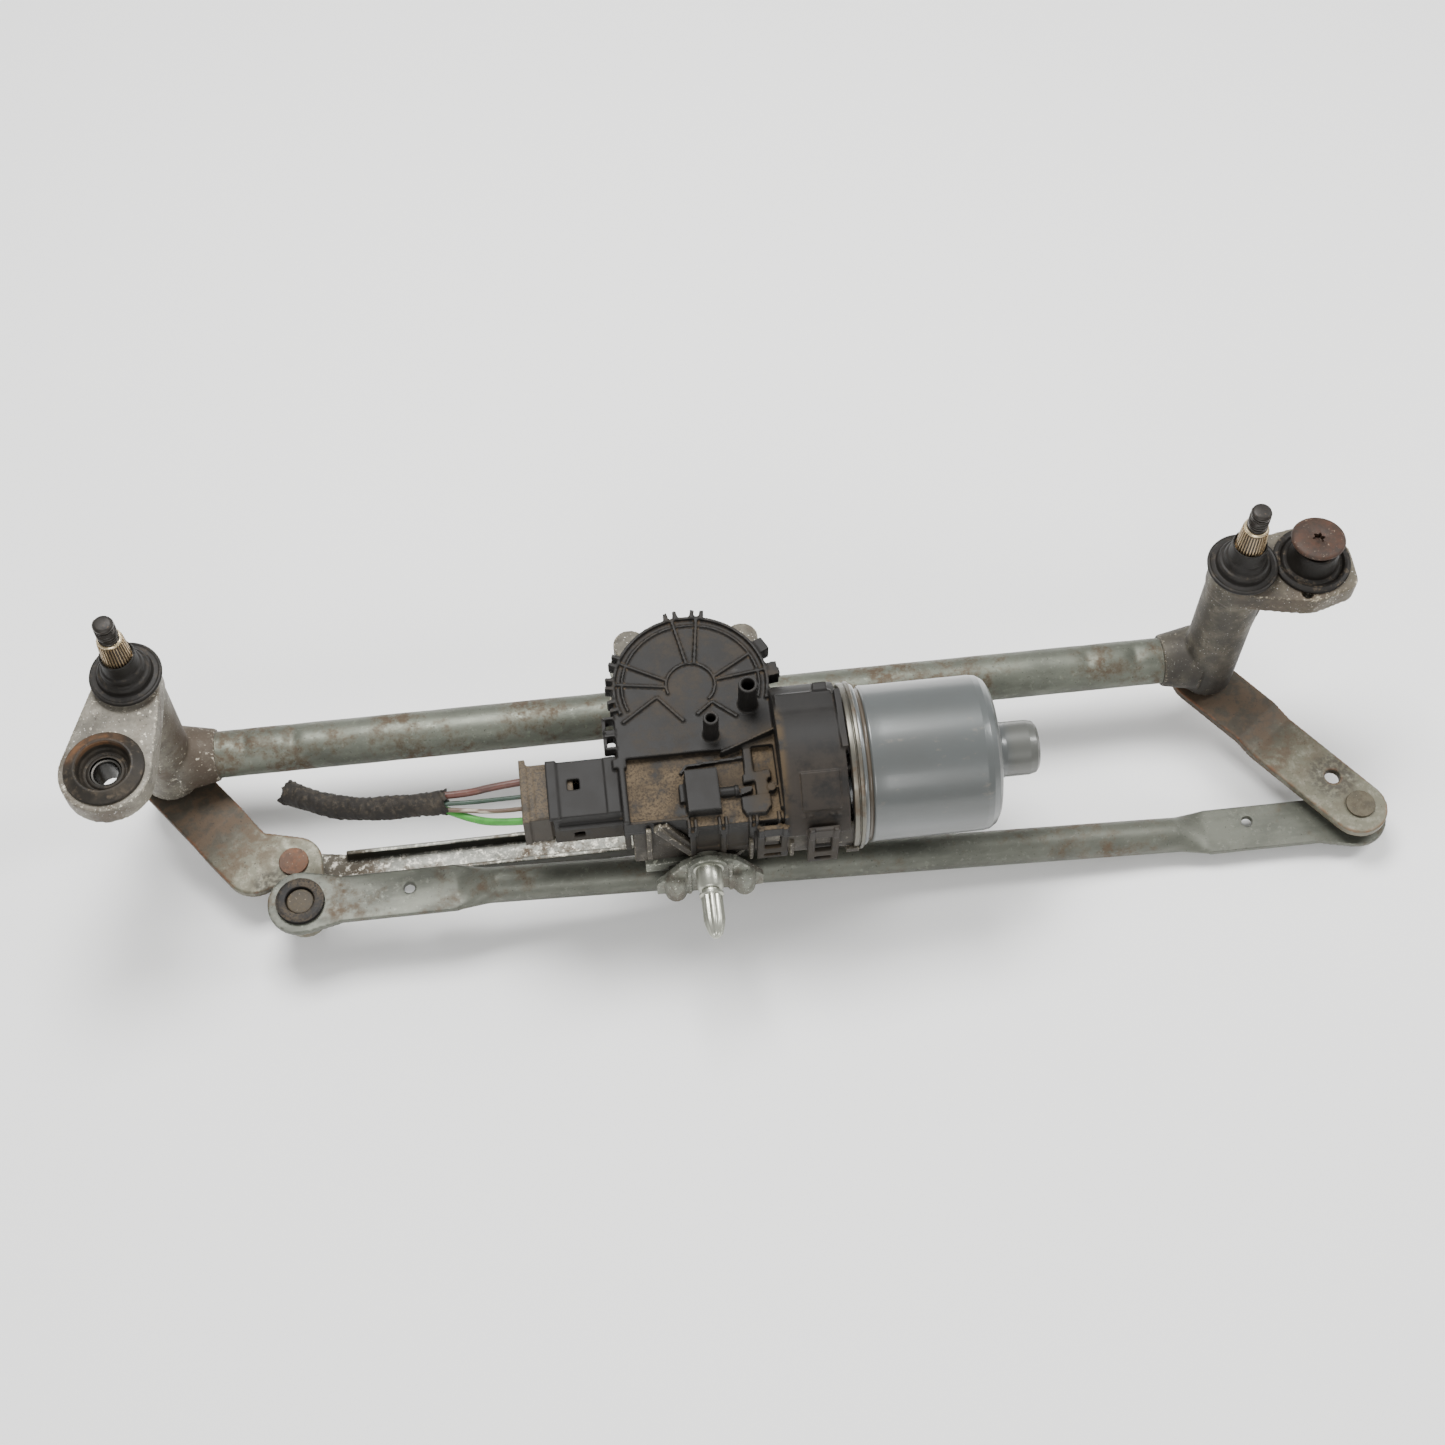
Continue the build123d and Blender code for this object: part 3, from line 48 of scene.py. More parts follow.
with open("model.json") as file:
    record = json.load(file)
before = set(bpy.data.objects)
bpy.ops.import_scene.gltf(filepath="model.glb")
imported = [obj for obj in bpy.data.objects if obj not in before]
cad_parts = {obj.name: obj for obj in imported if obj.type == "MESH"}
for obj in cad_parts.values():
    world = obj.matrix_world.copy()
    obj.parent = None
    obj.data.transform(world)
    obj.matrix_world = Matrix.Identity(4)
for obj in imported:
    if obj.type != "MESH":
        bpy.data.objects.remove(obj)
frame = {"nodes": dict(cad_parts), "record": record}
cad_low, cad_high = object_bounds()
NODES = frame["nodes"]
BODY_OF = {node: body for body, nodes in frame["record"]["behaviour"]["bodies"].items() for node in nodes}
MM = 0.001


def span(node):
    """A CAD node's lowest and highest corner, in millimetres."""
    low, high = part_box(node)
    return [v / MM for v in low], [v / MM for v in high]


def middle(node):
    low, high = span(node)
    return [(a + b) / 2 for a, b in zip(low, high)]


# ---------------------------------------------------------------- places, all read from the frame
LEFT_X = 0.0
RIGHT_X = middle("right_spindle")[0]
GEAR_X, GEAR_Y = middle("worm_gear")[:2]
MOTOR_Y, MOTOR_Z = middle("motor_can")[1:]
CAP = span("left_dust_cap")[0][2] + 1.2            # the spindle housings' top plane is 1.5 below this
CAN_X0, CAN_X1 = span("motor_can")[0][0], span("motor_can")[1][0]
TOP = CAP - 22.0                                   # the gear cover's round top
TRAY = CAP - 25.5                                  # its lower, square floor
STEP_Y = -46.0                                     # where the round top ends and the tray begins
EAR_TOP, EAR_LOW = CAP - 4.0, CAP - 14.0           # faces of the mounting ears
LEFT_EAR = (-8.2, -38.0)
RIGHT_EAR = (RIGHT_X + 28.0, 0.6)
THREAD_TOP = span("left_spindle")[1][2]


# ---------------------------------------------------------------- mesh helpers
def circle(count):
    """The angles of count points spread round a circle."""
    return [2 * math.pi * k / count for k in range(count)]


class Stock:
    """Closed solids gathered into one mesh, in millimetres."""

    def __init__(self):
        self.bm = bmesh.new()

    def column(self, foot, head):
        """A solid between two outlines that have as many points."""
        n = len(foot)
        verts = [self.bm.verts.new([c * MM for c in p]) for p in (*foot, *head)]
        faces = [tuple(range(n))[::-1], tuple(range(n, 2 * n))]
        faces += [(i, (i + 1) % n, n + (i + 1) % n, n + i) for i in range(n)]
        for face in faces:
            self.bm.faces.new([verts[i] for i in face])
        return self

    def prism(self, outline, z0, z1):
        """An upright solid on a plan outline that runs anticlockwise."""
        return self.column(*([(x, y, z) for x, y in outline] for z in (z0, z1)))

    def wall(self, outline, x0, x1):
        """A solid on an outline of (y, z) points, from x0 to x1."""
        return self.column(*([(x, y, z) for y, z in outline] for x in (x0, x1)))

    def block(self, x0, x1, y0, y1, z0, z1, turn=0.0):
        """A box, turned about the vertical through its centre by turn degrees."""
        cx, cy = (x0 + x1) / 2, (y0 + y1) / 2
        c, s = math.cos(math.radians(turn)), math.sin(math.radians(turn))
        offsets = [(x - cx, y - cy) for x, y in ((x0, y0), (x1, y0), (x1, y1), (x0, y1))]
        return self.prism([(cx + c * dx - s * dy, cy + s * dx + c * dy) for dx, dy in offsets], z0, z1)

    def band(self, cx, cy, r0, r1, a0, a1, z0, z1, steps=48):
        """Part of a flat ring, from angle a0 to a1 in degrees."""
        angles = [math.radians(a0 + (a1 - a0) * k / steps) for k in range(steps + 1)]
        for a, b in zip(angles, angles[1:]):
            plan = ((r0, a), (r1, a), (r1, b), (r0, b))
            self.prism([(cx + r * math.cos(t), cy + r * math.sin(t)) for r, t in plan], z0, z1)
        return self

    def rib(self, x0, y0, x1, y1, width, z0, z1, end_z1=None):
        """An upright strip between two plan points; its top may slope to end_z1."""
        dx, dy = x1 - x0, y1 - y0
        nx, ny = -dy / math.hypot(dx, dy) * width / 2, dx / math.hypot(dx, dy) * width / 2
        plan = [(x0 - nx, y0 - ny), (x1 - nx, y1 - ny), (x1 + nx, y1 + ny), (x0 + nx, y0 + ny)]
        far = z1 if end_z1 is None else end_z1
        return self.column([(*p, z0) for p in plan], [(*p, z) for p, z in zip(plan, (z1, far, far, z1))])

    def rod(self, start, end, radius, sides=32, end_radius=None):
        """A round bar between two points."""
        a, b = Vector(start), Vector(end)
        side = (b - a).normalized().orthogonal().normalized()
        other = (b - a).normalized().cross(side)
        far = radius if end_radius is None else end_radius
        return self.column(*([tuple(centre + r * (math.cos(t) * side + math.sin(t) * other)) for t in circle(sides)]
                             for centre, r in ((a, radius), (b, far))))

    def node(self, name):
        """A CAD node's own solids, welded."""
        copy = NODES[name].data.copy()
        self.bm.from_mesh(copy)
        bpy.data.meshes.remove(copy)
        return self

    def finish(self, name):
        bmesh.ops.remove_doubles(self.bm, verts=self.bm.verts, dist=1e-6)
        return mesh_object(name, self.bm)


def mesh_object(name, bm, crisp=None):
    """Puts the mesh in the scene as an object; edges sharper than crisp degrees stay hard."""
    mesh = bpy.data.meshes.new(name)
    bm.to_mesh(mesh)
    bm.free()
    obj = bpy.data.objects.new(name, mesh)
    bpy.context.scene.collection.objects.link(obj)
    return obj if crisp is None else smooth_shade(obj, crisp)


def settle(obj):
    """Turns what the modifiers make into the object's own plain mesh."""
    depsgraph = bpy.context.evaluated_depsgraph_get()
    mesh = bpy.data.meshes.new_from_object(obj.evaluated_get(depsgraph))
    obj.modifiers.clear()
    old = obj.data
    obj.data = mesh
    bpy.data.meshes.remove(old)
    return obj


def smooth_shade(obj, angle):
    for face in obj.data.polygons:
        face.use_smooth = True
    obj.data.set_sharp_from_angle(angle=math.radians(angle))
    return obj


def seat(obj, material, nodes):
    """Gives a finished piece its material, its body and the CAD nodes that it stands for."""
    obj.data.materials.clear()
    obj.data.materials.append(material)
    for face in obj.data.polygons:
        face.material_index = 0
    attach(obj, BODY_OF[nodes[0]])
    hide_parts(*nodes)
    return obj


def moulded(name, stock, material, nodes, voxel=0.6, soften=3, keep=0.5):
    """Fuses overlapping solids into one skin with soft corners, as a casting or a moulding has."""
    obj = stock.finish(name)
    remesh = obj.modifiers.new("skin", "REMESH")
    remesh.mode = "VOXEL"
    remesh.voxel_size = voxel * MM
    soft = obj.modifiers.new("soften", "SMOOTH")
    soft.factor = 0.5
    soft.iterations = soften
    thin = obj.modifiers.new("thin", "DECIMATE")
    thin.ratio = keep
    return seat(smooth_shade(settle(obj), 50), material, nodes)


def moulded_nodes(rows):
    """Moulds CAD nodes as they are. A row names the piece, its node and finish, then gives the skin's measures."""
    for name, node, finish, voxel, soften, keep in rows:
        moulded(name, Stock().node(node), M[finish], [node], voxel, soften, keep)


def skinned(name, rings, crisp, capped=False, looped=False):
    """Faces from each ring of points to the next, in millimetres; a ring may be a single point."""
    bm = bmesh.new()
    rings = [[bm.verts.new(Vector(point) * MM) for point in ring] for ring in rings]
    for a, b in zip(rings, rings[1:] + (rings[:1] if looped else [])):
        for k in range(max(len(a), len(b))):
            quad = (a[k % len(a)], a[(k + 1) % len(a)], b[(k + 1) % len(b)], b[k % len(b)])
            corners = list(dict.fromkeys(quad))
            if len(corners) > 2:
                bm.faces.new(corners)
    if capped:
        bm.faces.new(rings[0])
        bm.faces.new(rings[-1])
    bmesh.ops.recalc_face_normals(bm, faces=bm.faces)
    return mesh_object(name, bm, crisp)


def lathe(name, profile, centre, material, nodes, axis=(0, 0, 1), sides=96, crisp=35):
    """A turned piece. The profile holds (radius, height along the axis) points, and it closes on itself
    or on the axis."""
    axis = Vector(axis)
    side = axis.orthogonal().normalized()
    other = axis.cross(side)
    rings = []
    for r, h in profile:
        point = Vector(centre) + axis * h
        on_axis = r < 1e-6
        rings.append([point] if on_axis else
                     [point + r * (math.cos(t) * side + math.sin(t) * other) for t in circle(sides)])
    looped = len(rings[0]) > 1 and len(rings[-1]) > 1
    return seat(skinned(name, rings, crisp, looped=looped), material, nodes)


def rounded(points, radius, steps=4):
    """The profile with each inner corner turned into an arc of about this radius."""
    out = [points[0]]
    for before, here, after in zip(points, points[1:], points[2:]):
        a, b, c = (Vector(p) for p in (before, here, after))
        if (a - b).length < 1e-6 or (c - b).length < 1e-6:
            continue
        turn = (b - a).angle(c - b)
        if turn < 0.12:
            out.append(here)
            continue
        cut = min(radius * math.tan(turn / 2), 0.45 * (a - b).length, 0.45 * (c - b).length)
        p, q = b + (a - b).normalized() * cut, b + (c - b).normalized() * cut
        for k in range(steps + 1):
            t = k / steps
            out.append(tuple((1 - t) ** 2 * p + 2 * t * (1 - t) * b + t * t * q))
    return out + [points[-1]]


# ---------------------------------------------------------------- geometry node trees
def grow_tree(name, sockets, kinds, wires):
    """A geometry node tree. Each wire runs from a node and its output to a node and its input."""
    tree = bpy.data.node_groups.new(name, "GeometryNodeTree")
    tree.interface.new_socket("Geometry", in_out="OUTPUT", socket_type="NodeSocketGeometry")
    for socket, kind in sockets.items():
        tree.interface.new_socket(socket, in_out="INPUT", socket_type="NodeSocket" + kind)
    nodes = {short: tree.nodes.new(kind) for short, kind in kinds.items()}
    for source, output, target, socket in wires:
        tree.links.new(nodes[source].outputs[output], nodes[target].inputs[socket])
    return tree, nodes


def ring_tree():
    """Copies of a template, turned about a vertical axis and evenly spaced round it."""
    sockets = {"Template": "Object", "Count": "Int", "Centre": "Vector", "Finish": "Material"}
    kinds = {"in": "NodeGroupInput", "out": "NodeGroupOutput", "points": "GeometryNodePoints",
             "info": "GeometryNodeObjectInfo", "index": "GeometryNodeInputIndex", "step": "ShaderNodeMath",
             "turn": "ShaderNodeMath", "angle": "ShaderNodeCombineXYZ", "copies": "GeometryNodeInstanceOnPoints",
             "place": "GeometryNodeTransform", "real": "GeometryNodeRealizeInstances",
              "paint": "GeometryNodeSetMaterial"}
    tree, nodes = grow_tree("ring_of_copies", sockets, kinds, [
        ("in", "Count", "points", "Count"), ("in", "Template", "info", "Object"), ("in", "Count", "step", 1),
        ("step", 0, "turn", 0), ("index", 0, "turn", 1), ("turn", 0, "angle", "Z"), ("points", 0, "copies", "Points"),
        ("info", "Geometry", "copies", "Instance"), ("angle", 0, "copies", "Rotation"),
        ("copies", 0, "place", "Geometry"),
        ("in", "Centre", "place", "Translation"), ("place", 0, "real", 0), ("real", 0, "paint", 0),
        ("in", "Finish", "paint", "Material"), ("paint", 0, "out", 0)])
    nodes["step"].operation, nodes["turn"].operation = "DIVIDE", "MULTIPLY"
    nodes["step"].inputs[0].default_value = 2 * math.pi
    return tree


def coil_tree():
    """A ridge of square section that climbs round a vertical axis, as on a screw thread."""
    sockets = {"Turns": "Float", "Radius": "Float", "Height": "Float", "Ridge": "Float", "Base": "Vector",
               "Finish": "Material"}
    kinds = {"in": "NodeGroupInput", "out": "NodeGroupOutput", "spiral": "GeometryNodeCurveSpiral",
             "section": "GeometryNodeCurvePrimitiveCircle", "skin": "GeometryNodeCurveToMesh",
             "place": "GeometryNodeTransform", "paint": "GeometryNodeSetMaterial"}
    tree, nodes = grow_tree("screw_ridge", sockets, kinds, [
        ("in", "Turns", "spiral", "Rotations"), ("in", "Radius", "spiral", "Start Radius"),
        ("in", "Radius", "spiral", "End Radius"), ("in", "Height", "spiral", "Height"),
        ("in", "Ridge", "section", "Radius"), ("spiral", 0, "skin", "Curve"), ("section", 0, "skin", "Profile Curve"),
        ("skin", 0, "place", "Geometry"), ("in", "Base", "place", "Translation"), ("place", 0, "paint", 0),
        ("in", "Finish", "paint", "Material"), ("paint", 0, "out", 0)])
    nodes["spiral"].inputs["Resolution"].default_value = 40
    nodes["section"].inputs["Resolution"].default_value = 4
    nodes["skin"].inputs["Fill Caps"].default_value = True
    return tree


RING, COIL = ring_tree(), coil_tree()


def grown(name, tree, values, material, nodes, template=None):
    """Runs a geometry node tree with named inputs, and keeps its result as a plain mesh."""
    holder = mesh_object(name, bmesh.new())
    modifier = holder.modifiers.new("grow", "NODES")
    modifier.node_group = tree
    values = dict(values, Finish=material)
    if template is not None:
        values["Template"] = template
    for item in tree.interface.items_tree:
        if item.item_type == "SOCKET" and item.in_out == "INPUT" and item.name in values:
            modifier[item.identifier] = values[item.name]
    settle(holder)
    if template is not None:
        bpy.data.objects.remove(template)
    return seat(smooth_shade(holder, 35), material, nodes)


# ---------------------------------------------------------------- materials
class Finish:
    """A node material under construction: a base colour that layers of stain, dust and wear go on to."""

    def __init__(self, colour, rough=0.5, metal=0.0, coat=0.0, sheen=0.0, specular=0.5):
        self.material = bpy.data.materials.new("finish")
        self.material.use_nodes = True
        self.tree = self.material.node_tree
        self.shader = self.tree.nodes["Principled BSDF"]
        for socket, value in (("Metallic", metal), ("Coat Weight", coat), ("Coat Roughness", 0.15),
                              ("Sheen Weight", sheen), ("Specular IOR Level", specular)):
            self.shader.inputs[socket].default_value = value
        self.place = self.node("TexCoord").outputs["Object"]
        self.colour = self.constant("RGB", (*colour, 1))
        self.rough = self.constant("Value", rough)
        self.height = None

    def node(self, kind, inputs=None, **settings):
        """A new node. An input is a value or another node's output."""
        node = self.tree.nodes.new("ShaderNode" + kind)
        for key, value in settings.items():
            setattr(node, key, value)
        for key, value in (inputs or {}).items():
            if isinstance(value, bpy.types.NodeSocket):
                self.tree.links.new(value, node.inputs[key])
            else:
                node.inputs[key].default_value = value
        return node

    def constant(self, kind, value):
        output = self.node(kind).outputs[0]
        output.default_value = value
        return output

    def sum(self, operation, a, b):
        return self.node("Math", {0: a, 1: b}, operation=operation).outputs[0]

    def noise(self, scale, detail=4.0, rough=0.6, stretch=(1, 1, 1), shift=0.0):
        """Noise of this many cells to the metre."""
        mapping = self.node("Mapping", {"Vector": self.place, "Scale": stretch,
                                        "Location": (shift, shift * 0.7, shift * 0.3)})
        node = self.node("TexNoise", {"Vector": mapping.outputs[0], "Scale": scale, "Detail": detail,
                                      "Roughness": rough})
        return node.outputs["Fac"]

    def step(self, value, low, high):
        """0 below low, 1 above high, smooth between; low may be the larger."""
        rising = low < high
        return self.node("MapRange", {"Value": value, "From Min": min(low, high), "From Max": max(low, high),
                                      "To Min": 0.0 if rising else 1.0, "To Max": 1.0 if rising else 0.0},
                         interpolation_type="SMOOTHSTEP").outputs[0]

    def spots(self, low, high, *noise, **more):
        """Patches of 1 where the noise is above high."""
        return self.step(self.noise(*noise, **more), low, high)

    def along(self, axis):
        return self.node("SeparateXYZ", {0: self.place}).outputs[axis]

    def past(self, axis, low, high):
        """0 on the low side of a plane across the axis and 1 on the high side, in millimetres."""
        return self.step(self.along(axis), low * MM, high * MM)

    def near(self, x, y, radius, fade):
        """1 within radius of the vertical line at x, y, fading over fade millimetres."""
        dx = self.sum("SUBTRACT", self.along("X"), x * MM)
        dy = self.sum("SUBTRACT", self.along("Y"), y * MM)
        squares = self.sum("ADD", self.sum("MULTIPLY", dx, dx), self.sum("MULTIPLY", dy, dy))
        return self.step(self.sum("SQRT", squares, 0.0), (radius + fade) * MM, radius * MM)

    def facing(self, axis, low, high):
        """1 on faces whose normal lies along the axis by more than high."""
        normal = self.node("NewGeometry").outputs["Normal"]
        return self.step(self.node("SeparateXYZ", {0: normal}).outputs[axis], low, high)

    def up(self):
        return self.facing("Z", 0.35, 0.9)

    def front(self):
        return self.facing("Y", -0.3, -0.8)

    def edge(self, low=0.52, high=0.60):
        return self.step(self.node("NewGeometry").outputs["Pointiness"], low, high)

    def times(self, *values):
        out = values[0]
        for value in values[1:]:
            out = self.sum("MULTIPLY", out, value)
        return out

    def layer(self, mask, colour, rough=None, strength=1.0):
        """Lays a colour over the finish where mask is 1."""
        if strength != 1.0:
            mask = self.sum("MULTIPLY", mask, strength)
        self.colour = self.node("Mix", {0: mask, 6: self.colour, 7: (*colour, 1)}, data_type="RGBA").outputs[2]
        if rough is not None:
            self.rough = self.node("Mix", {0: mask, 2: self.rough, 3: rough}).outputs[0]
        return self

    def relief(self, value, depth):
        """Adds fine relief of this depth in millimetres."""
        part = self.sum("MULTIPLY", value, depth * MM)
        self.height = part if self.height is None else self.sum("ADD", self.height, part)
        return self

    def done(self):
        self.tree.links.new(self.colour, self.shader.inputs["Base Color"])
        self.tree.links.new(self.rough, self.shader.inputs["Roughness"])
        if self.height is not None:
            bump = self.node("Bump", {"Strength": 1.0, "Distance": 1.0, "Height": self.height})
            self.tree.links.new(bump.outputs[0], self.shader.inputs["Normal"])
        return self.material


BROWN = (0.085, 0.055, 0.032)
SOOT = (0.030, 0.026, 0.022)
DUST = (0.270, 0.205, 0.135)
RUST = (0.180, 0.070, 0.030)


def cast_metal(colour, stain_x=None, front_shade=False, brown_low=False):
    """Weathered die casting: a pale skin with pits, dark specks, bright grains and brown stains, and, when asked,
    painted shade on faces turned to the front.
    """
    f = Finish(colour, 0.56, 0.25)
    f.layer(f.spots(0.40, 0.64, 60, 6, 0.7), [c * 0.55 for c in colour], 0.62)
    f.layer(f.spots(0.54, 0.70, 190, 6, 0.7, shift=3.0), [c * 1.35 for c in colour], 0.48, 0.7)
    f.layer(f.spots(0.48, 0.64, 34, 6, 0.75, shift=9.0), (0.070, 0.050, 0.033), 0.7, 0.70)
    f.layer(f.spots(0.66, 0.72, 900, 2, 0.5, shift=2.0), SOOT, 0.7, 0.75)
    f.layer(f.spots(0.70, 0.74, 1300, 1, 0.5, shift=5.0), (0.80, 0.78, 0.72), 0.3, 0.5)
    if stain_x is not None:
        f.layer(f.times(f.near(stain_x, 0, 12, 16), f.spots(0.35, 0.6, 80, 5, shift=7.0)), SOOT, 0.7, 0.75)
    if brown_low:
        below = f.times(f.past("X", 4.0, 13.0), f.past("Z", CAP - 14.0, CAP - 36.0))
        f.layer(f.times(below, f.spots(0.18, 0.50, 55, 5, 0.7, shift=4.0)), (0.054, 0.038, 0.024), 0.68, 0.92)
    if stain_x is not None:
        foot = f.past("Z", CAP - 54.0, CAP - 70.0)
        f.layer(f.times(foot, f.spots(0.20, 0.48, 60, 5, shift=2.0)), (0.018, 0.0155, 0.012), 0.65, 0.9)
    if front_shade:
        # painted shade: faces turned to the front are darkened, broken up by noise
        f.layer(f.times(f.front(), f.spots(0.25, 0.5, 70, 4, shift=1.0)), (0.028, 0.024, 0.019), 0.75, 0.85)
    f.layer(f.edge(), [min(1, c * 1.9) for c in colour], 0.4, 0.6)
    nicks = f.spots(0.54, 0.64, 620, 4, 0.75, shift=11.0)
    f.layer(f.times(f.edge(0.505, 0.55), nicks), [min(0.70, c * 4.2) for c in colour], 0.3, 0.8)
    f.layer(f.times(f.spots(0.62, 0.68, 420, 3, 0.6, shift=12.0), f.spots(0.45, 0.6, 40, 3, shift=2.0)),
            [min(0.60, c * 3.4) for c in colour], 0.3, 0.6)
    f.relief(f.noise(1500, 3, 0.6), 0.06).relief(f.noise(300, 4, 0.6, shift=4.0), 0.16)
    return f.done()


def plated(colour, patch=0.62, stain=BROWN, metal=0.55, rough=0.46, channel_shading=False):
    """Dull zinc plate on steel, with cloudy spangle and brown patches where it has worn through. On the drag link's
    channel it also gets painted shade on faces turned to the front, a painted shadow towards its left end and painted
    highlights on upward faces.
    """
    f = Finish(colour, rough, metal)
    f.layer(f.spots(0.38, 0.68, 110, 5, 0.65, (0.45, 1, 1)), [c * 0.72 for c in colour], rough + 0.08)
    f.layer(f.spots(0.56, 0.70, 420, 4, 0.7, shift=2.0), [c * 1.45 for c in colour], rough - 0.08, 0.6)
    f.layer(f.times(f.step(f.noise(38, 6, 0.72, shift=6.0), patch - 0.1, patch + 0.06),
                    f.spots(0.36, 0.58, 260, 5, 0.7, shift=1.0)), stain, 0.72, 0.85)
    f.layer(f.spots(0.68, 0.73, 1100, 2, 0.5, shift=8.0), SOOT, 0.7, 0.6)
    f.layer(f.edge(0.53, 0.62), [min(1, c * 1.6) for c in colour], 0.35, 0.5)
    if channel_shading:
        # painted shade: faces turned to the front, such as the inside of the channel's far wall, are darkened
        f.layer(f.front(), (0.030, 0.031, 0.024), 0.6, 0.9)
        # painted shadow near the arm: brown, broken up by noise, towards the channel's left end
        f.layer(f.times(f.past("X", 84.0, 70.0), f.spots(0.22, 0.5, 70, 5, 0.7, shift=3.0)),
                (0.050, 0.040, 0.027), 0.7, 0.85)
        # painted highlight: light flecks on upward faces, such as the channel's floor
        f.layer(f.times(f.up(), f.spots(0.50, 0.62, 300, 5, 0.75, shift=5.0)), (0.42, 0.40, 0.34), 0.34, 0.6)
    f.relief(f.noise(700, 4, 0.6), 0.05)
    return f.done()


def arm_plate(hub_x, hole):
    """Khaki zinc on a pressed lever, dark brown round the spindle and rusty along its edges."""
    f = Finish((0.118, 0.112, 0.078), 0.5, 0.40)
    f.layer(f.spots(0.45, 0.7, 240, 5, 0.7), (0.215, 0.208, 0.158), 0.42, 0.8)
    f.layer(f.spots(0.50, 0.68, 70, 5, 0.7, shift=3.0), (0.088, 0.076, 0.050), 0.56, 0.7)
    f.layer(f.near(hub_x, 0, 30, 26), (0.034, 0.026, 0.018), 0.62, 0.88)
    f.layer(f.times(f.near(hub_x, 0, 46, 22), f.spots(0.42, 0.6, 150, 5, 0.7, shift=7.0)), BROWN, 0.65, 0.7)
    f.layer(f.times(f.near(hole[0], hole[1], 7, 6), f.spots(0.35, 0.6, 500, 3, shift=5.0)), SOOT, 0.7, 0.6)
    f.layer(f.times(f.edge(0.50, 0.56), f.spots(0.40, 0.62, 160, 4, shift=2.0)), RUST, 0.75, 0.7)
    f.layer(f.spots(0.66, 0.72, 950, 2, 0.5, shift=1.0), SOOT, 0.7, 0.6)
    f.relief(f.noise(900, 4, 0.6), 0.05).relief(f.noise(260, 3, 0.6, shift=2.0), 0.06)
    return f.done()


def rubber(colour, dust=0.35, band=None):
    f = Finish(colour, 0.52, 0.0, specular=0.22)
    f.layer(f.spots(0.45, 0.75, 120, 5, 0.7), [c * 1.9 for c in colour], 0.6, 0.7)
    f.layer(f.times(f.up(), f.spots(0.50, 0.75, 340, 5, 0.7, shift=4.0)), DUST, 0.8, dust)
    if band is not None:
        low, high, colour_of_band = band
        inside = f.times(f.past("Z", low, low + 0.9), f.past("Z", high, high - 0.9))
        rear = f.times(f.past("Y", -38.0, -30.0), f.past("X", 2.0, -8.0))
        f.layer(f.times(inside, rear, f.spots(0.25, 0.5, 140, 4, shift=2.0)), colour_of_band, 0.7, 0.9)
        f.layer(f.times(f.spots(0.40, 0.64, 110, 4, 0.6, shift=3.0)), (0.040, 0.032, 0.023), 0.7, 0.6)
    f.relief(f.noise(1200, 3, 0.6), 0.03)
    return f.done()


def turned_steel(colour, rough=0.34, grime=0.6, metal=0.85):
    f = Finish(colour, rough, metal)
    f.layer(f.spots(0.42, 0.66, 260, 5, 0.7, (1, 1, 0.3)), [c * 0.45 for c in colour], rough + 0.18, grime)
    f.layer(f.spots(0.58, 0.70, 800, 3, 0.6, shift=4.0), BROWN, 0.65, grime * 0.7)
    f.layer(f.edge(0.52, 0.60), [min(1, c * 1.7) for c in colour], 0.22, 0.6)
    f.relief(f.noise(1600, 2, 0.5, (1, 1, 4)), 0.02)
    return f.done()


def rusty(colour, fleck=RUST):
    f = Finish(colour, 0.62, 0.25)
    f.layer(f.spots(0.40, 0.66, 320, 6, 0.75), fleck, 0.72, 0.75)
    f.layer(f.spots(0.46, 0.66, 130, 5, 0.7, shift=3.0), [c * 0.5 for c in colour], 0.6, 0.75)
    f.layer(f.spots(0.64, 0.72, 900, 3, 0.6, shift=7.0), (0.32, 0.24, 0.17), 0.5, 0.5)
    f.relief(f.noise(900, 5, 0.7), 0.08)
    return f.done()


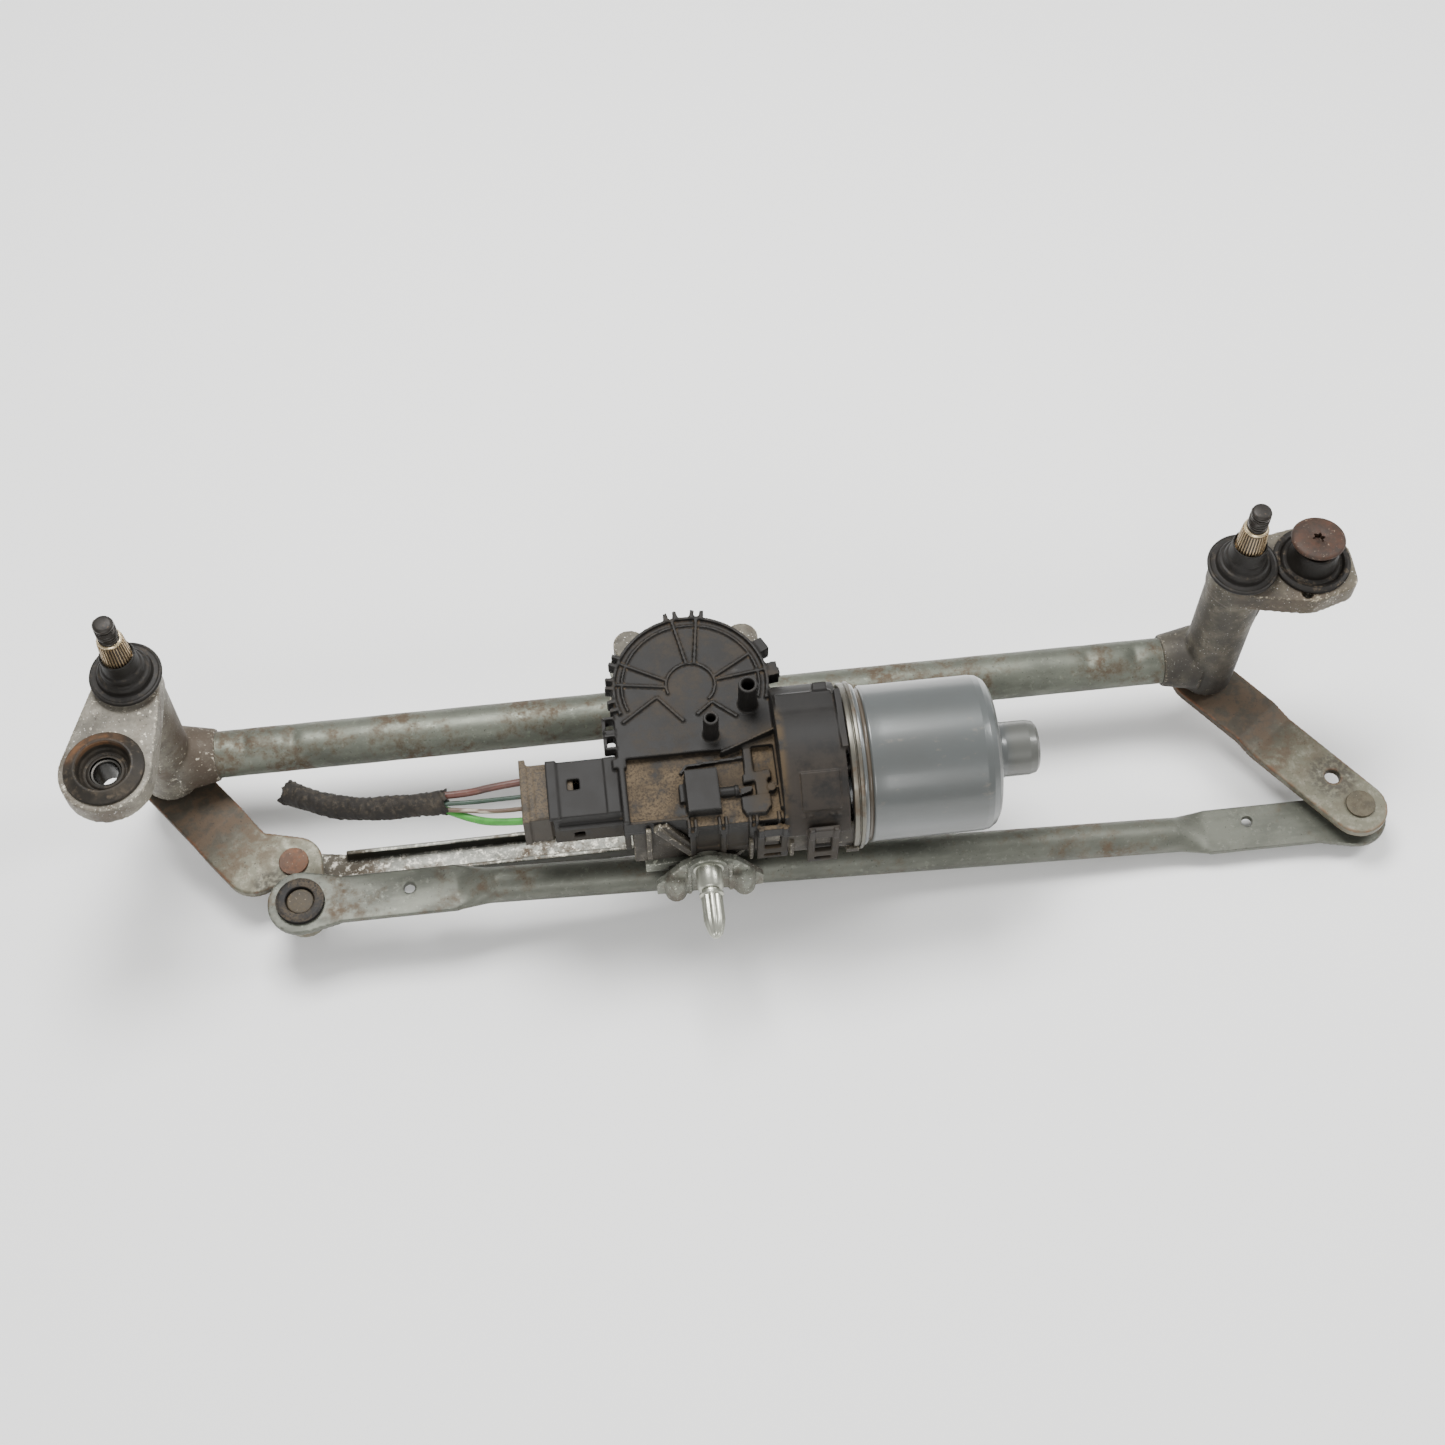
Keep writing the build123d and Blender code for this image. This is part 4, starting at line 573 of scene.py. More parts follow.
def moulding(colour, dust=0.8, tray=False, rough=0.54):
    """Dark moulded plastic with scuffed edges. In the tray, tan dust lies on the floor."""
    f = Finish(colour, rough, 0.0, specular=0.22)
    f.layer(f.spots(0.40, 0.70, 90, 5, 0.65), [c * 1.6 for c in colour], rough + 0.08, 0.8)
    f.layer(f.edge(0.515, 0.58), [min(1, c * 3.2) for c in colour], 0.5, 0.55)
    fine = f.spots(0.34, 0.58, 1100, 3, 0.7, shift=5.0)
    cloud = f.spots(0.30, 0.56, 120, 5, 0.65, shift=2.0)
    if tray:
        inside = f.times(f.past("X", 183.0, 184.5), f.past("X", 243.0, 240.5),
                         f.past("Y", STEP_Y + 6.0, STEP_Y - 1.0), f.past("Z", TRAY + 1.8, TRAY + 0.4))
        f.layer(f.times(f.up(), inside, cloud), (0.040, 0.030, 0.020), 0.85, dust)
        drift = f.spots(0.30, 0.62, 48, 4, 0.6, shift=9.0)
        f.layer(f.times(f.up(), inside, cloud, fine, drift), (0.125, 0.092, 0.056), 0.88, dust * 0.75)
        shelf = f.times(f.past("X", 226.0, 243.0), f.past("Y", STEP_Y + 12.0, STEP_Y + 1.0),
                        f.past("X", 246.0, 243.0))
        f.layer(f.times(f.up(), shelf, cloud), (0.085, 0.058, 0.030), 0.85, 0.6)
        label = f.times(f.past("X", 243.0, 245.0), f.past("Y", -48.0, -66.0))
        f.layer(f.times(label, cloud), (0.034, 0.027, 0.021), 0.62, 0.7)
        rim = f.times(f.near(GEAR_X, GEAR_Y, 33, 3), f.spots(0.46, 0.68, 75, 5, 0.7, shift=1.5))
        f.layer(f.times(f.up(), rim), (0.040, 0.032, 0.024), 0.75, 0.75)
        low = f.past("Z", TRAY - 7.0, TRAY - 13.0)
        f.layer(f.times(low, cloud), (0.034, 0.028, 0.020), 0.8, 0.6)
    else:
        f.layer(f.times(f.up(), cloud, fine), (0.150, 0.112, 0.070), 0.85, dust)
    hollow = f.spots(0.35, 0.6, 600, 3, 0.6, shift=8.0)
    f.layer(f.times(f.edge(0.485, 0.44), hollow), (0.110, 0.078, 0.046), 0.85, 0.6)
    f.relief(f.noise(1400, 3, 0.6), 0.025)
    return f.done()


def plain_inner(colour, rough=0.5, metal=0.0, grain=500):
    """A finish for pieces inside the casings: even, with a fine mottle."""
    f = Finish(colour, rough, metal)
    f.layer(f.spots(0.40, 0.68, grain, 4, 0.6), [c * 0.7 for c in colour], rough + 0.1, 0.7)
    f.relief(f.noise(grain * 2, 3, 0.6, shift=2.0), 0.02)
    return f.done()


def can_paint():
    f = Finish((0.086, 0.094, 0.093), 0.30, 0.3, coat=0.5)
    f.layer(f.spots(0.40, 0.68, 26, 4, 0.6, (0.6, 1, 1)), (0.070, 0.073, 0.070), 0.38, 0.7)
    f.layer(f.spots(0.60, 0.72, 260, 5, 0.7, (0.5, 1, 1), 3.0), (0.160, 0.140, 0.110), 0.5, 0.35)
    groove = f.times(f.past("X", CAN_X0 - 1.1, CAN_X0 - 0.7), f.past("X", CAN_X0 + 1.2, CAN_X0 + 0.7))
    f.layer(groove, (0.060, 0.045, 0.028), 0.65, 0.95)
    f.layer(f.past("X", CAN_X1 - 15, CAN_X1 - 10), (0.080, 0.080, 0.069), 0.42, 0.7)
    f.relief(f.noise(700, 3, 0.6), 0.012)
    return f.done()


def machined_face():
    f = Finish((0.120, 0.116, 0.098), 0.30, 0.75)
    f.layer(f.spots(0.42, 0.62, 420, 4, 0.6, (8, 0.6, 0.6)), (0.130, 0.118, 0.094), 0.38, 0.8)
    f.layer(f.spots(0.50, 0.66, 70, 5, 0.7, shift=4.0), BROWN, 0.6, 0.75)
    f.relief(f.noise(1800, 2, 0.5, (6, 0.5, 0.5)), 0.02)
    return f.done()


def jacket(colour, stripe=None):
    f = Finish(colour, 0.40, 0.0, specular=0.5)
    f.layer(f.spots(0.44, 0.70, 260, 4, 0.6), [c * 0.6 for c in colour], 0.55, 0.7)
    if stripe is not None:
        f.layer(f.spots(0.50, 0.54, 240, 1, 0.4, (0.25, 1, 1), 2.0), stripe, 0.5, 0.9)
    f.layer(f.spots(0.60, 0.74, 520, 4, 0.7, shift=6.0), DUST, 0.8, 0.4)
    f.relief(f.noise(900, 2, 0.5), 0.02)
    return f.done()


def cloth_tape():
    """Woven cloth tape: crossing threads in relief, greyed on top and dark in its overlaps."""
    f = Finish((0.0125, 0.0105, 0.0085), 0.72, 0.0, sheen=0.04, specular=0.25)
    f.layer(f.spots(0.45, 0.68, 120, 5, 0.7), (0.034, 0.028, 0.021), 0.75, 0.8)
    f.layer(f.times(f.up(), f.spots(0.48, 0.68, 420, 5, 0.75, shift=3.0)), (0.085, 0.069, 0.048), 0.8, 0.5)
    warp = f.noise(1500, 1, 0.3, (1, 0.12, 0.12))
    weft = f.noise(1500, 1, 0.3, (0.12, 1, 1), 4.0)
    f.relief(warp, 0.10).relief(weft, 0.10)
    return f.done()


M = {
    "left_casting": cast_metal((0.175, 0.160, 0.128), brown_low=True),
    "right_casting": cast_metal((0.112, 0.098, 0.070), RIGHT_X),
    "gear_casting": cast_metal((0.095, 0.084, 0.062), front_shade=True),
    "bracket_casting": cast_metal((0.170, 0.176, 0.142)),
    "tube_plate": plated((0.130, 0.138, 0.110), 0.58),
    "link_plate": plated((0.108, 0.112, 0.090), 0.60, metal=0.45),
    "drag_plate": plated((0.165, 0.166, 0.144), 0.56, channel_shading=True),
    "pin_plate": plated((0.360, 0.365, 0.310), 0.70, (0.26, 0.23, 0.11), 0.8, 0.28),
    "left_lever": arm_plate(LEFT_X, (40, -55)),
    "right_lever": arm_plate(RIGHT_X, (RIGHT_X + 43.7, -52.1)),
    "cap_rubber": rubber((0.0105, 0.0092, 0.0078), 0.14),
    "right_grommet_rubber": rubber((0.0100, 0.0085, 0.0070), 0.34),
    "left_grommet_rubber": rubber((0.0150, 0.0128, 0.0100), 0.30,
                                  (CAP - 2.9, CAP - 0.4, (0.125, 0.060, 0.026))),
    "seal_rubber": rubber((0.020, 0.020, 0.020), 0.1),
    "thread_steel": turned_steel((0.018, 0.015, 0.012), 0.50, 0.7, 0.4),
    "collar_steel": turned_steel((0.560, 0.455, 0.290), 0.26, 0.35),
    "valley_steel": turned_steel((0.022, 0.014, 0.008), 0.6, 0.6, 0.3),
    "spline_steel": turned_steel((0.270, 0.205, 0.125), 0.34, 0.5, 0.75),
    "steel": turned_steel((0.300, 0.285, 0.260)),
    "sleeve_steel": turned_steel((0.020, 0.019, 0.017), 0.42, 0.5),
    "bolt_rust": rusty((0.036, 0.019, 0.0105), (0.066, 0.025, 0.012)),
    "left_rivet": rusty((0.115, 0.060, 0.034)),
    "right_rivet": rusty((0.085, 0.072, 0.044), (0.050, 0.038, 0.022)),
    "ball_top": rusty((0.046, 0.036, 0.022), (0.080, 0.058, 0.030)),
    "cover_plastic": moulding((0.0092, 0.0084, 0.0076), 0.9, tray=True),
    "plug_plastic": moulding((0.030, 0.0245, 0.018), 0.5),
    "socket_plastic": moulding((0.010, 0.0092, 0.0085), 0.35),
    "can_paint": can_paint(),
    "machined_face": machined_face(),
    "loom_tape": cloth_tape(),
    "brown_red": jacket((0.090, 0.030, 0.020), (0.055, 0.022, 0.016)),
    "dark_green": jacket((0.020, 0.045, 0.028)),
    "white_brown": jacket((0.360, 0.320, 0.250), (0.075, 0.040, 0.022)),
    "green": jacket((0.050, 0.260, 0.035)),
    "bronze": plain_inner((0.330, 0.215, 0.105), 0.45, 0.8),
    "copper": plain_inner((0.520, 0.230, 0.110), 0.32, 0.9),
    "carbon": plain_inner((0.030, 0.030, 0.032), 0.6, 0.2),
    "ferrite": plain_inner((0.060, 0.060, 0.064), 0.55, 0.2),
    "laminations": plain_inner((0.190, 0.185, 0.180), 0.42, 0.8, 900),
    "board": plain_inner((0.020, 0.110, 0.045), 0.35),
    "gear_nylon": plain_inner((0.500, 0.470, 0.400), 0.45),
}
for name, material in M.items():
    material.name = name


# ---------------------------------------------------------------- camera, light and floor
def place_camera():
    """The camera looks down at the gearbox, 61 degrees below level, turned a little to the right."""
    dip, yaw, roll = (math.radians(a) for a in (61.332, 6.213, 0.288))
    forward = Vector((math.sin(yaw) * math.cos(dip), math.cos(yaw) * math.cos(dip), -math.sin(dip)))
    right = Vector((math.cos(yaw), -math.sin(yaw), 0.0))
    down = forward.cross(right)
    camera_x = right * math.cos(roll) + down * math.sin(roll)
    camera_y = right * math.sin(roll) - down * math.cos(roll)
    target = Vector((221.703, -46.645, CAP)) * MM
    place = target - forward * 848.172 * MM
    data = bpy.data.cameras.new("camera")
    data.sensor_width = 36.0
    data.lens = 56.664
    data.clip_start = 0.01
    camera = bpy.data.objects.new("camera", data)
    axes = Matrix((camera_x, camera_y, -forward)).transposed().to_4x4()
    camera.matrix_world = Matrix.Translation(place) @ axes
    bpy.context.scene.collection.objects.link(camera)
    bpy.context.scene.camera = camera


def soft_light(name, place, aim, size, power):
    data = bpy.data.lights.new(name, "AREA")
    data.shape = "RECTANGLE"
    data.size, data.size_y = size
    data.energy = power
    light = bpy.data.objects.new(name, data)
    direction = Vector(aim) - Vector(place)
    light.location = place
    light.rotation_euler = direction.to_track_quat("-Z", "Y").to_euler()
    bpy.context.scene.collection.objects.link(light)


def studio():
    world = bpy.data.worlds.new("studio")
    world.use_nodes = True
    world.node_tree.nodes["Background"].inputs["Color"].default_value = (1.0, 1.0, 1.0, 1.0)
    world.node_tree.nodes["Background"].inputs["Strength"].default_value = 0.62
    bpy.context.scene.world = world
    aim = (0.215, -0.03, -0.05)
    soft_light("top_softbox", (0.10, 0.35, 0.95), aim, (0.55, 0.40), 19.0)
    soft_light("right_softbox", (1.05, 0.10, 0.65), aim, (0.22, 0.6), 7.0)
    soft_light("front_fill", (0.10, -1.0, 0.55), aim, (0.7, 0.4), 6.0)
    floor_material = bpy.data.materials.new("pale_floor")
    floor_material.use_nodes = True
    shader = floor_material.node_tree.nodes["Principled BSDF"]
    shader.inputs["Base Color"].default_value = (0.93, 0.93, 0.92, 1)
    shader.inputs["Roughness"].default_value = 0.85
    level = cad_low[2] - 0.0005
    mesh = bpy.data.meshes.new("floor")
    reach = 4.0
    mesh.from_pydata([(-reach, -reach, level), (reach, -reach, level), (reach, reach, level), (-reach, reach, level)],
                     [], [(0, 1, 2, 3)])
    floor = bpy.data.objects.new("floor", mesh)
    floor.data.materials.append(floor_material)
    bpy.context.scene.collection.objects.link(floor)


place_camera()
studio()


# ---------------------------------------------------------------- harness
LOOM_ROUTE = [(114.0, -46.6, CAP - 41.8), (98.0, -46.4, CAP - 42.6), (80.0, -44.6, CAP - 44.6),
              (65.0, -39.8, CAP - 46.2), (52.0, -32.6, CAP - 46.6)]
PLUG_BACK = 143.5
WIRES = {
    "brown_red": (1.5, [(PLUG_BACK, -44.8, CAP - 35.0), (132.5, -45.0, CAP - 36.2),
                        (122.0, -45.6, CAP - 38.6), (111.5, -44.8, CAP - 39.6)]),
    "dark_green": (0.9, [(PLUG_BACK, -50.4, CAP - 36.5), (133.0, -49.8, CAP - 37.8),
                         (122.0, -48.8, CAP - 40.0), (111.0, -48.2, CAP - 39.8)]),
    "white_brown": (0.9, [(PLUG_BACK, -55.0, CAP - 37.5), (133.0, -54.2, CAP - 39.6),
                          (122.0, -51.4, CAP - 41.4), (111.0, -49.4, CAP - 42.0)]),
    "green": (1.5, [(PLUG_BACK, -59.6, CAP - 39.0), (133.0, -58.0, CAP - 41.4),
                    (122.5, -53.6, CAP - 44.4), (112.0, -47.6, CAP - 44.6)]),
}
LOOM_RADIUS = 4.9
TAPE_PITCH = 7.5                                   # along the loom, from one turn of tape to the next


def route_curve(name, route, radius=0.0):
    """A smooth cord on the route's points."""
    data = bpy.data.curves.new(name, "CURVE")
    data.dimensions = "3D"
    spline = data.splines.new("NURBS")
    spline.points.add(len(route) - 1)
    for point, place in zip(spline.points, route):
        point.co = (*[c * MM for c in place], 1)
    spline.order_u = 3
    spline.use_endpoint_u = True
    data.resolution_u = 24
    data.bevel_depth = radius * MM
    data.bevel_resolution = 8
    data.use_fill_caps = True
    obj = bpy.data.objects.new(name, data)
    bpy.context.scene.collection.objects.link(obj)
    return obj


def route_line(route):
    """Points along the smooth cord, in metres."""
    obj = route_curve("route", route)
    bpy.context.view_layer.update()
    mesh = bpy.data.meshes.new_from_object(obj.evaluated_get(bpy.context.evaluated_depsgraph_get()))
    line = [v.co.copy() for v in mesh.vertices]
    bpy.data.meshes.remove(mesh)
    bpy.data.objects.remove(obj)
    return line


def line_length(line):
    return sum((b - a).length for a, b in zip(line, line[1:]))


def resampled(line, count):
    """The same line as evenly spaced points."""
    gaps = [0.0]
    for a, b in zip(line, line[1:]):
        gaps.append(gaps[-1] + (b - a).length)
    wanted = np.linspace(0, gaps[-1], count)
    return [Vector([np.interp(s, gaps, [p[k] for p in line]) for k in range(3)]) for s in wanted]


def taped_loom():
    """Cloth tape wound round the wires: each turn overlaps the last, with lumps and ragged ends."""
    line = resampled(route_line(LOOM_ROUTE), 240)
    last = len(line) - 1
    step = line_length(line) / last / MM
    angles = circle(40)
    rings = []
    for i, centre in enumerate(line):
        along = (line[min(i + 1, last)] - line[max(i - 1, 0)]).normalized()
        side = along.cross(Vector((0, 0, 1))).normalized()
        top = side.cross(along)
        s = i * step
        fray = max(0.0, 1.0 - min(i, last - i) / 10.0)
        ring = []
        for k, t in enumerate(angles):
            lap = (s / TAPE_PITCH + k / len(angles)) % 1.0
            ridge = 0.42 * (1 - lap) ** 3 - 0.12 * math.exp(-((lap - 0.985) / 0.02) ** 2)
            lump = 0.22 * math.sin(s * 0.31 + 2 * t) + 0.16 * math.sin(s * 0.83 - 3 * t)
            lump += 0.10 * math.sin(5 * t + s * 1.9)
            crease = 0.10 * math.sin(s * 2.7 + 4.0 * math.sin(t))
            r = LOOM_RADIUS - 0.45 + ridge + lump * 0.8 + crease * 0.5 + fray * (0.35 * math.sin(7 * t + i) + 0.2)
            reach = 0.0
            if i in (0, last):
                reach = (0.8 * math.sin(5 * t) + 0.5 * math.sin(11 * t + 1.0)) * (1 if i else -1)
            ring.append(centre / MM + (side * math.cos(t) + top * math.sin(t)) * r + along * reach)
        rings.append(ring)
    ends = []
    for ring, end, neighbour in ((rings[0], line[0], line[1]), (rings[-1], line[-1], line[-2])):
        centre, inward = end / MM, (neighbour - end).normalized() * 2.5
        rim = [centre + (point - centre) * 0.72 for point in ring]
        deep = [centre + (point - centre) * 0.9 + inward for point in rim]
        ends.append([[centre + inward], deep, rim])
    obj = skinned("taped_loom", ends[0] + rings + ends[1][::-1], 60)
    seat(obj, M["loom_tape"], ["harness_loom"])
    return obj, line

def harness():
    for name, (radius, route) in WIRES.items():
        line = route_line(route)
        wire = route_curve("wire_" + name, route, radius)
        wire.name = name + "_wire"
        wire.data.materials.append(M[name])
        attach(wire, "frame")
        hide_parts("wire_" + name)
    loom, line = taped_loom()


harness()


# ---------------------------------------------------------------- spindles, caps and grommets
def spindle(side, x):
    """Thread, bright collar, splined cone and shank, by their heights above the cap's plane."""
    node = side + "_spindle"
    foot = (x, 0, CAP)
    top, low = THREAD_TOP - CAP, span(node)[0][2] - CAP
    root, cone_top, cone_low = 26.3, 25.0, 13.0
    thread = [(0, top), (2.6, top), (3.3, top - 0.25), (3.72, top - 0.8), (3.72, root), (0, root)]
    lathe(node + "_thread_core", thread, foot, M["thread_steel"], [node], sides=64)
    ridge = {"Turns": 7.6, "Radius": 3.70 * MM, "Height": 9.3 * MM, "Ridge": 0.34 * MM,
             "Base": (x * MM, 0.0, (CAP + root + 0.2) * MM)}
    grown(node + "_thread", COIL, ridge, M["thread_steel"], [node])
    collar = [(0, root + 0.05), (4.3, root + 0.05), (4.7, root - 0.4), (4.7, cone_top), (0, cone_top)]
    lathe(node + "_collar", rounded(collar, 0.2), foot, M["collar_steel"], [node], sides=72)
    cone = [(0, cone_top), (4.6, cone_top), (5.35, cone_low), (0, cone_low)]
    lathe(node + "_cone", cone, foot, M["valley_steel"], [node], sides=72)
    corners = ((-0.75, -1.7), (0, -1), (0, 1), (-0.75, 1.7))
    tooth = [[(r + inset, half * turn, CAP + z) for inset, turn in corners]
             for z, r, half in ((cone_low, 5.80, 0.18), (cone_top - 0.2, 5.04, 0.15))]
    grown(node + "_splines", RING, {"Count": 30, "Centre": (x * MM, 0.0, 0.0)}, M["spline_steel"], [node],
          template=Stock().column(*tooth).finish("spline"))
    arm_top = low + 5.6
    shank = [(0, cone_low), (5.8, cone_low), (6.0, cone_low - 1.0), (6.0, arm_top), (5.0, arm_top),
             (5.0, arm_top - 4.0),
             (7.4, arm_top - 4.0), (7.5, arm_top - 4.6), (6.6, low), (0, low)]
    lathe(node + "_shank", shank, foot, M["steel"], [node], sides=64)

def cap(side, x):
    """Rubber dust cap: a flange, two steps with moulded rings, and a hub that grips the spindle."""
    profile = [(13.7, -1.2), (13.85, -0.5), (13.6, 0.15), (12.9, 0.35), (12.4, 0.1), (11.6, 0.15), (10.75, 0.2),
               (10.4, 1.0), (10.2, 2.6), (9.6, 3.4), (8.8, 3.7), (8.35, 4.3), (8.2, 5.8), (7.8, 6.7), (7.1, 7.3),
               (6.85, 8.4), (6.8, 13.6), (6.6, 14.3), (6.2, 14.4), (6.0, 13.8), (6.02, 7.0), (6.3, 6.4), (8.8, 2.6),
               (8.8, -1.2)]
    lathe(side + "_cap_skin", rounded(profile, 0.35, 3), (x, 0, CAP), M["cap_rubber"], [side + "_dust_cap"],
          sides=112, crisp=60)

def grommet(side, place):
    """Rubber mounting grommet: two lips and a waist in the ear, by their heights above the ear. The left one has a
    ridged recess round its sleeve, and the right one a boot under the bolt's head."""
    low, high = span(side + "_mount_grommet")
    top, bottom, under = high[2] - EAR_TOP, low[2] - EAR_TOP, EAR_LOW - EAR_TOP - 0.05
    head = span("right_mount_bolt")[1][2] - EAR_TOP
    face = {"left": [(13.8, 2.0), (12.4, 2.7), (11.3, 3.3), (10.6, 3.4), (10.1, 2.8), (9.7, 1.2), (9.5, -0.4),
                     (8.9, -1.2), (8.4, -2.4), (7.6, -2.9), (6.9, -2.2)],
            "right": [(13.6, 2.1), (12.6, 1.9), (11.8, 1.0), (10.9, 0.8), (9.9, 1.6), (9.0, head - 5.2),
                      (8.5, head - 3.4),
                      (7.9, head - 2.8), (7.1, head - 3.0), (6.85, head - 4.2), (6.75, -1.0), (6.7, top - 4.9)]}[side]
    profile = [(15.0, 0.05), (15.2, 0.8), (14.9, 1.5), *face, (6.2, -2.0), (5.9, top - 4.7), (6.65, top - 5.2),
               (6.65, bottom + 0.3), (10.5, bottom), (14.6, bottom + 0.1), (15.1, bottom + 1.2), (15.0, under),
               (11.45, under), (11.45, 0.05)]
    lathe(side + "_grommet_skin", rounded(profile, 0.3, 3), (*place, EAR_TOP), M[side + "_grommet_rubber"],
          [side + "_mount_grommet"], sides=112, crisp=60)

def sleeve(side, place):
    low, high = span(side + "_mount_sleeve")
    top, bottom = high[2], low[2]
    profile = [(6.6, bottom), (6.6, top - 1.4), (6.2, top - 0.9), (5.6, top - 0.4), (4.9, top - 0.5), (4.4, top - 1.2),
               (4.4, bottom)]
    lathe(side + "_sleeve_skin", profile, (*place, 0), M["sleeve_steel"], [side + "_mount_sleeve"], sides=80)

def bolt():
    """Flanged bolt with a small six-lobed socket; its head sits a little proud and askew."""
    x, y = RIGHT_EAR
    low, high = span("right_mount_bolt")
    top = high[2]
    steps = [(2.3, top - 2.8), (2.45, top - 0.7), (2.9, top - 0.35), (5.0, top), (7.6, top - 0.05), (9.0, top - 0.3),
             (9.9, top - 0.7), (10.3, top - 1.1), (10.5, top - 1.7), (10.2, top - 2.3), (6.6, top - 3.0),
             (6.4, top - 4.0),
             (6.4, top - 16.3), (4.1, top - 16.7), (4.0, low[2] + 1.2), (3.2, low[2])]
    rings = []
    for i, (r, z) in enumerate(steps):
        proud = 1.0 if i < 10 else 0.0
        ring = []
        for t in circle(96):
            lobe = 1.0 - (0.16 * (1.0 - math.cos(6 * t)) if i < 2 else 0.0)
            wobble = 1.0 + (0.006 * math.sin(3 * t + i) if 4 < i < 10 else 0.0)
            spread = r * lobe * wobble
            ring.append((x + spread * math.cos(t), y + spread * math.sin(t) + 1.3 * proud,
                         z + (1.4 - 0.10 * spread * math.sin(t)) * proud))
        rings.append(ring)
    seat(skinned("bolt_skin", rings, 40, capped=True), M["bolt_rust"], ["right_mount_bolt"])

for side, x in (("left", LEFT_X), ("right", RIGHT_X)):
    spindle(side, x)
    cap(side, x)
for make in (grommet, sleeve):
    make("left", LEFT_EAR)
    make("right", RIGHT_EAR)
bolt()

# ---------------------------------------------------------------- castings, tube and levers
def tube():
    """The frame tube, dimpled where it is pressed on to the two castings."""
    low, high = span("frame_tube")
    y0, z0 = middle("frame_tube")[1:]
    x0, x1 = low[0], high[0]
    radius, wall = 9.5, 1.8
    dimples = (x0 + 11.0, x0 + 31.0, x1 - 31.0, x1 - 11.0)
    xs = np.unique(np.concatenate([np.linspace(x0, x0 + 46, 116), np.linspace(x0 + 46, x1 - 46, 60),
                                   np.linspace(x1 - 46, x1, 116)]))

    def pressed(x, t):
        depth = 0.0
        for dimple in dimples:
            for at in (0.5 * math.pi, 1.5 * math.pi):
                gap = math.atan2(math.sin(t - at), math.cos(t - at))
                depth += 1.25 * math.exp(-((x - dimple) / 3.0) ** 2 - (gap / 0.62) ** 2)
        return radius - depth + 0.03 * math.sin(x * 0.21 + t)

    def ring(x, reach):
        return [(x, y0 + reach(x, t) * math.cos(t), z0 + reach(x, t) * math.sin(t)) for t in circle(72)]

    rings = [ring(x, pressed) for x in xs] + [ring(x, lambda x, t: radius - wall) for x in (x1, x0)]
    seat(skinned("tube_skin", rings, 40, looped=True), M["tube_plate"], ["frame_tube"])

moulded_nodes((
    ("left_housing_skin", "left_spindle_housing", "left_casting", 0.7, 3, 0.45),
    ("right_housing_skin", "right_spindle_housing", "right_casting", 0.7, 3, 0.45),
))
tube()
moulded_nodes((
    ("left_arm_skin", "left_arm", "left_lever", 0.55, 2, 0.5),
    ("right_arm_skin", "right_arm", "right_lever", 0.55, 2, 0.5),
    ("left_inner_ball_stud_skin", "left_inner_ball_stud", "left_rivet", 0.3, 2, 0.5),
    ("right_ball_stud_skin", "right_ball_stud", "right_rivet", 0.3, 2, 0.5),
    ("left_outer_ball_stud_skin", "left_outer_ball_stud", "ball_top", 0.3, 2, 0.5),
    ("long_link_left_socket_skin", "long_link_left_socket", "socket_plastic", 0.32, 2, 0.4),
    ("long_link_right_socket_skin", "long_link_right_socket", "socket_plastic", 0.32, 2, 0.4),
    ("drag_link_socket_skin", "drag_link_socket", "socket_plastic", 0.32, 2, 0.4),
    ("long_link_skin", "long_link", "link_plate", 0.62, 2, 0.45),
    ("drag_link_skin", "drag_link", "drag_plate", 0.55, 2, 0.5),
))

# ---------------------------------------------------------------- geared motor
def motor_can():
    """Drawn steel can: rolled groove by its flange, straight wall, round shoulder and bearing nose."""
    x0, x1 = CAN_X0 - 2.3, CAN_X1 - 17.5
    r, nose = 30.5, 10.8
    outer = [(31.5, x0), (31.6, x0 + 0.8), (31.1, x0 + 1.4), (29.5, x0 + 1.8), (29.4, x0 + 2.9), (30.2, x0 + 3.4),
             (30.7, x0 + 4.0), (30.55, x0 + 5.6), (r, x0 + 9.5), (r, x1 - 7.0), (30.1, x1 - 4.6), (28.6, x1 - 2.2),
             (26.2, x1 - 0.7), (23.0, x1), (15.0, x1 + 0.3), (12.2, x1 + 1.0), (11.2, x1 + 2.6), (nose, x1 + 4.2),
             (nose, x1 + 13.5), (10.2, x1 + 16.2), (8.6, x1 + 17.5), (0, x1 + 17.5)]
    inner = [(0, x1 + 16.0), (9.3, x1 + 16.0), (9.3, x1 + 3.0), (11.0, x1 - 1.0), (23.0, x1 - 1.5), (28.4, x1 - 6.5),
             (28.9, x1 - 8.0), (28.9, x0 + 8.0), (28.4, x0 + 4.0), (28.9, x0 + 1.0), (29.0, x0)]
    profile = rounded(outer, 0.8, 5) + inner + [(31.5, x0)]
    lathe("can_skin", profile, (0, MOTOR_Y, MOTOR_Z), M["can_paint"], ["motor_can"], (1, 0, 0), 144, crisp=40)

def gear_case():
    """The housing stops where its machined flange begins."""
    stock = Stock().node("gear_housing")
    flange = (CAN_X0 - 2.4) * MM
    for vert in stock.bm.verts:
        vert.co.x = min(vert.co.x, flange)
    moulded("gear_housing_skin", stock, M["gear_casting"], ["gear_housing"], 0.6, 2, 0.4)
    face = [(29.2, -7.0), (31.6, -7.0), (32.4, -6.6), (32.45, -4.9), (31.9, -4.6), (31.9, -4.3), (32.7, -4.0),
            (32.75, -2.9), (32.3, -2.4), (29.2, -2.4)]
    lathe("machined_flange", rounded(face, 0.3), (CAN_X0, MOTOR_Y, MOTOR_Z), M["machined_face"], ["gear_housing"],
          (1, 0, 0), 144)

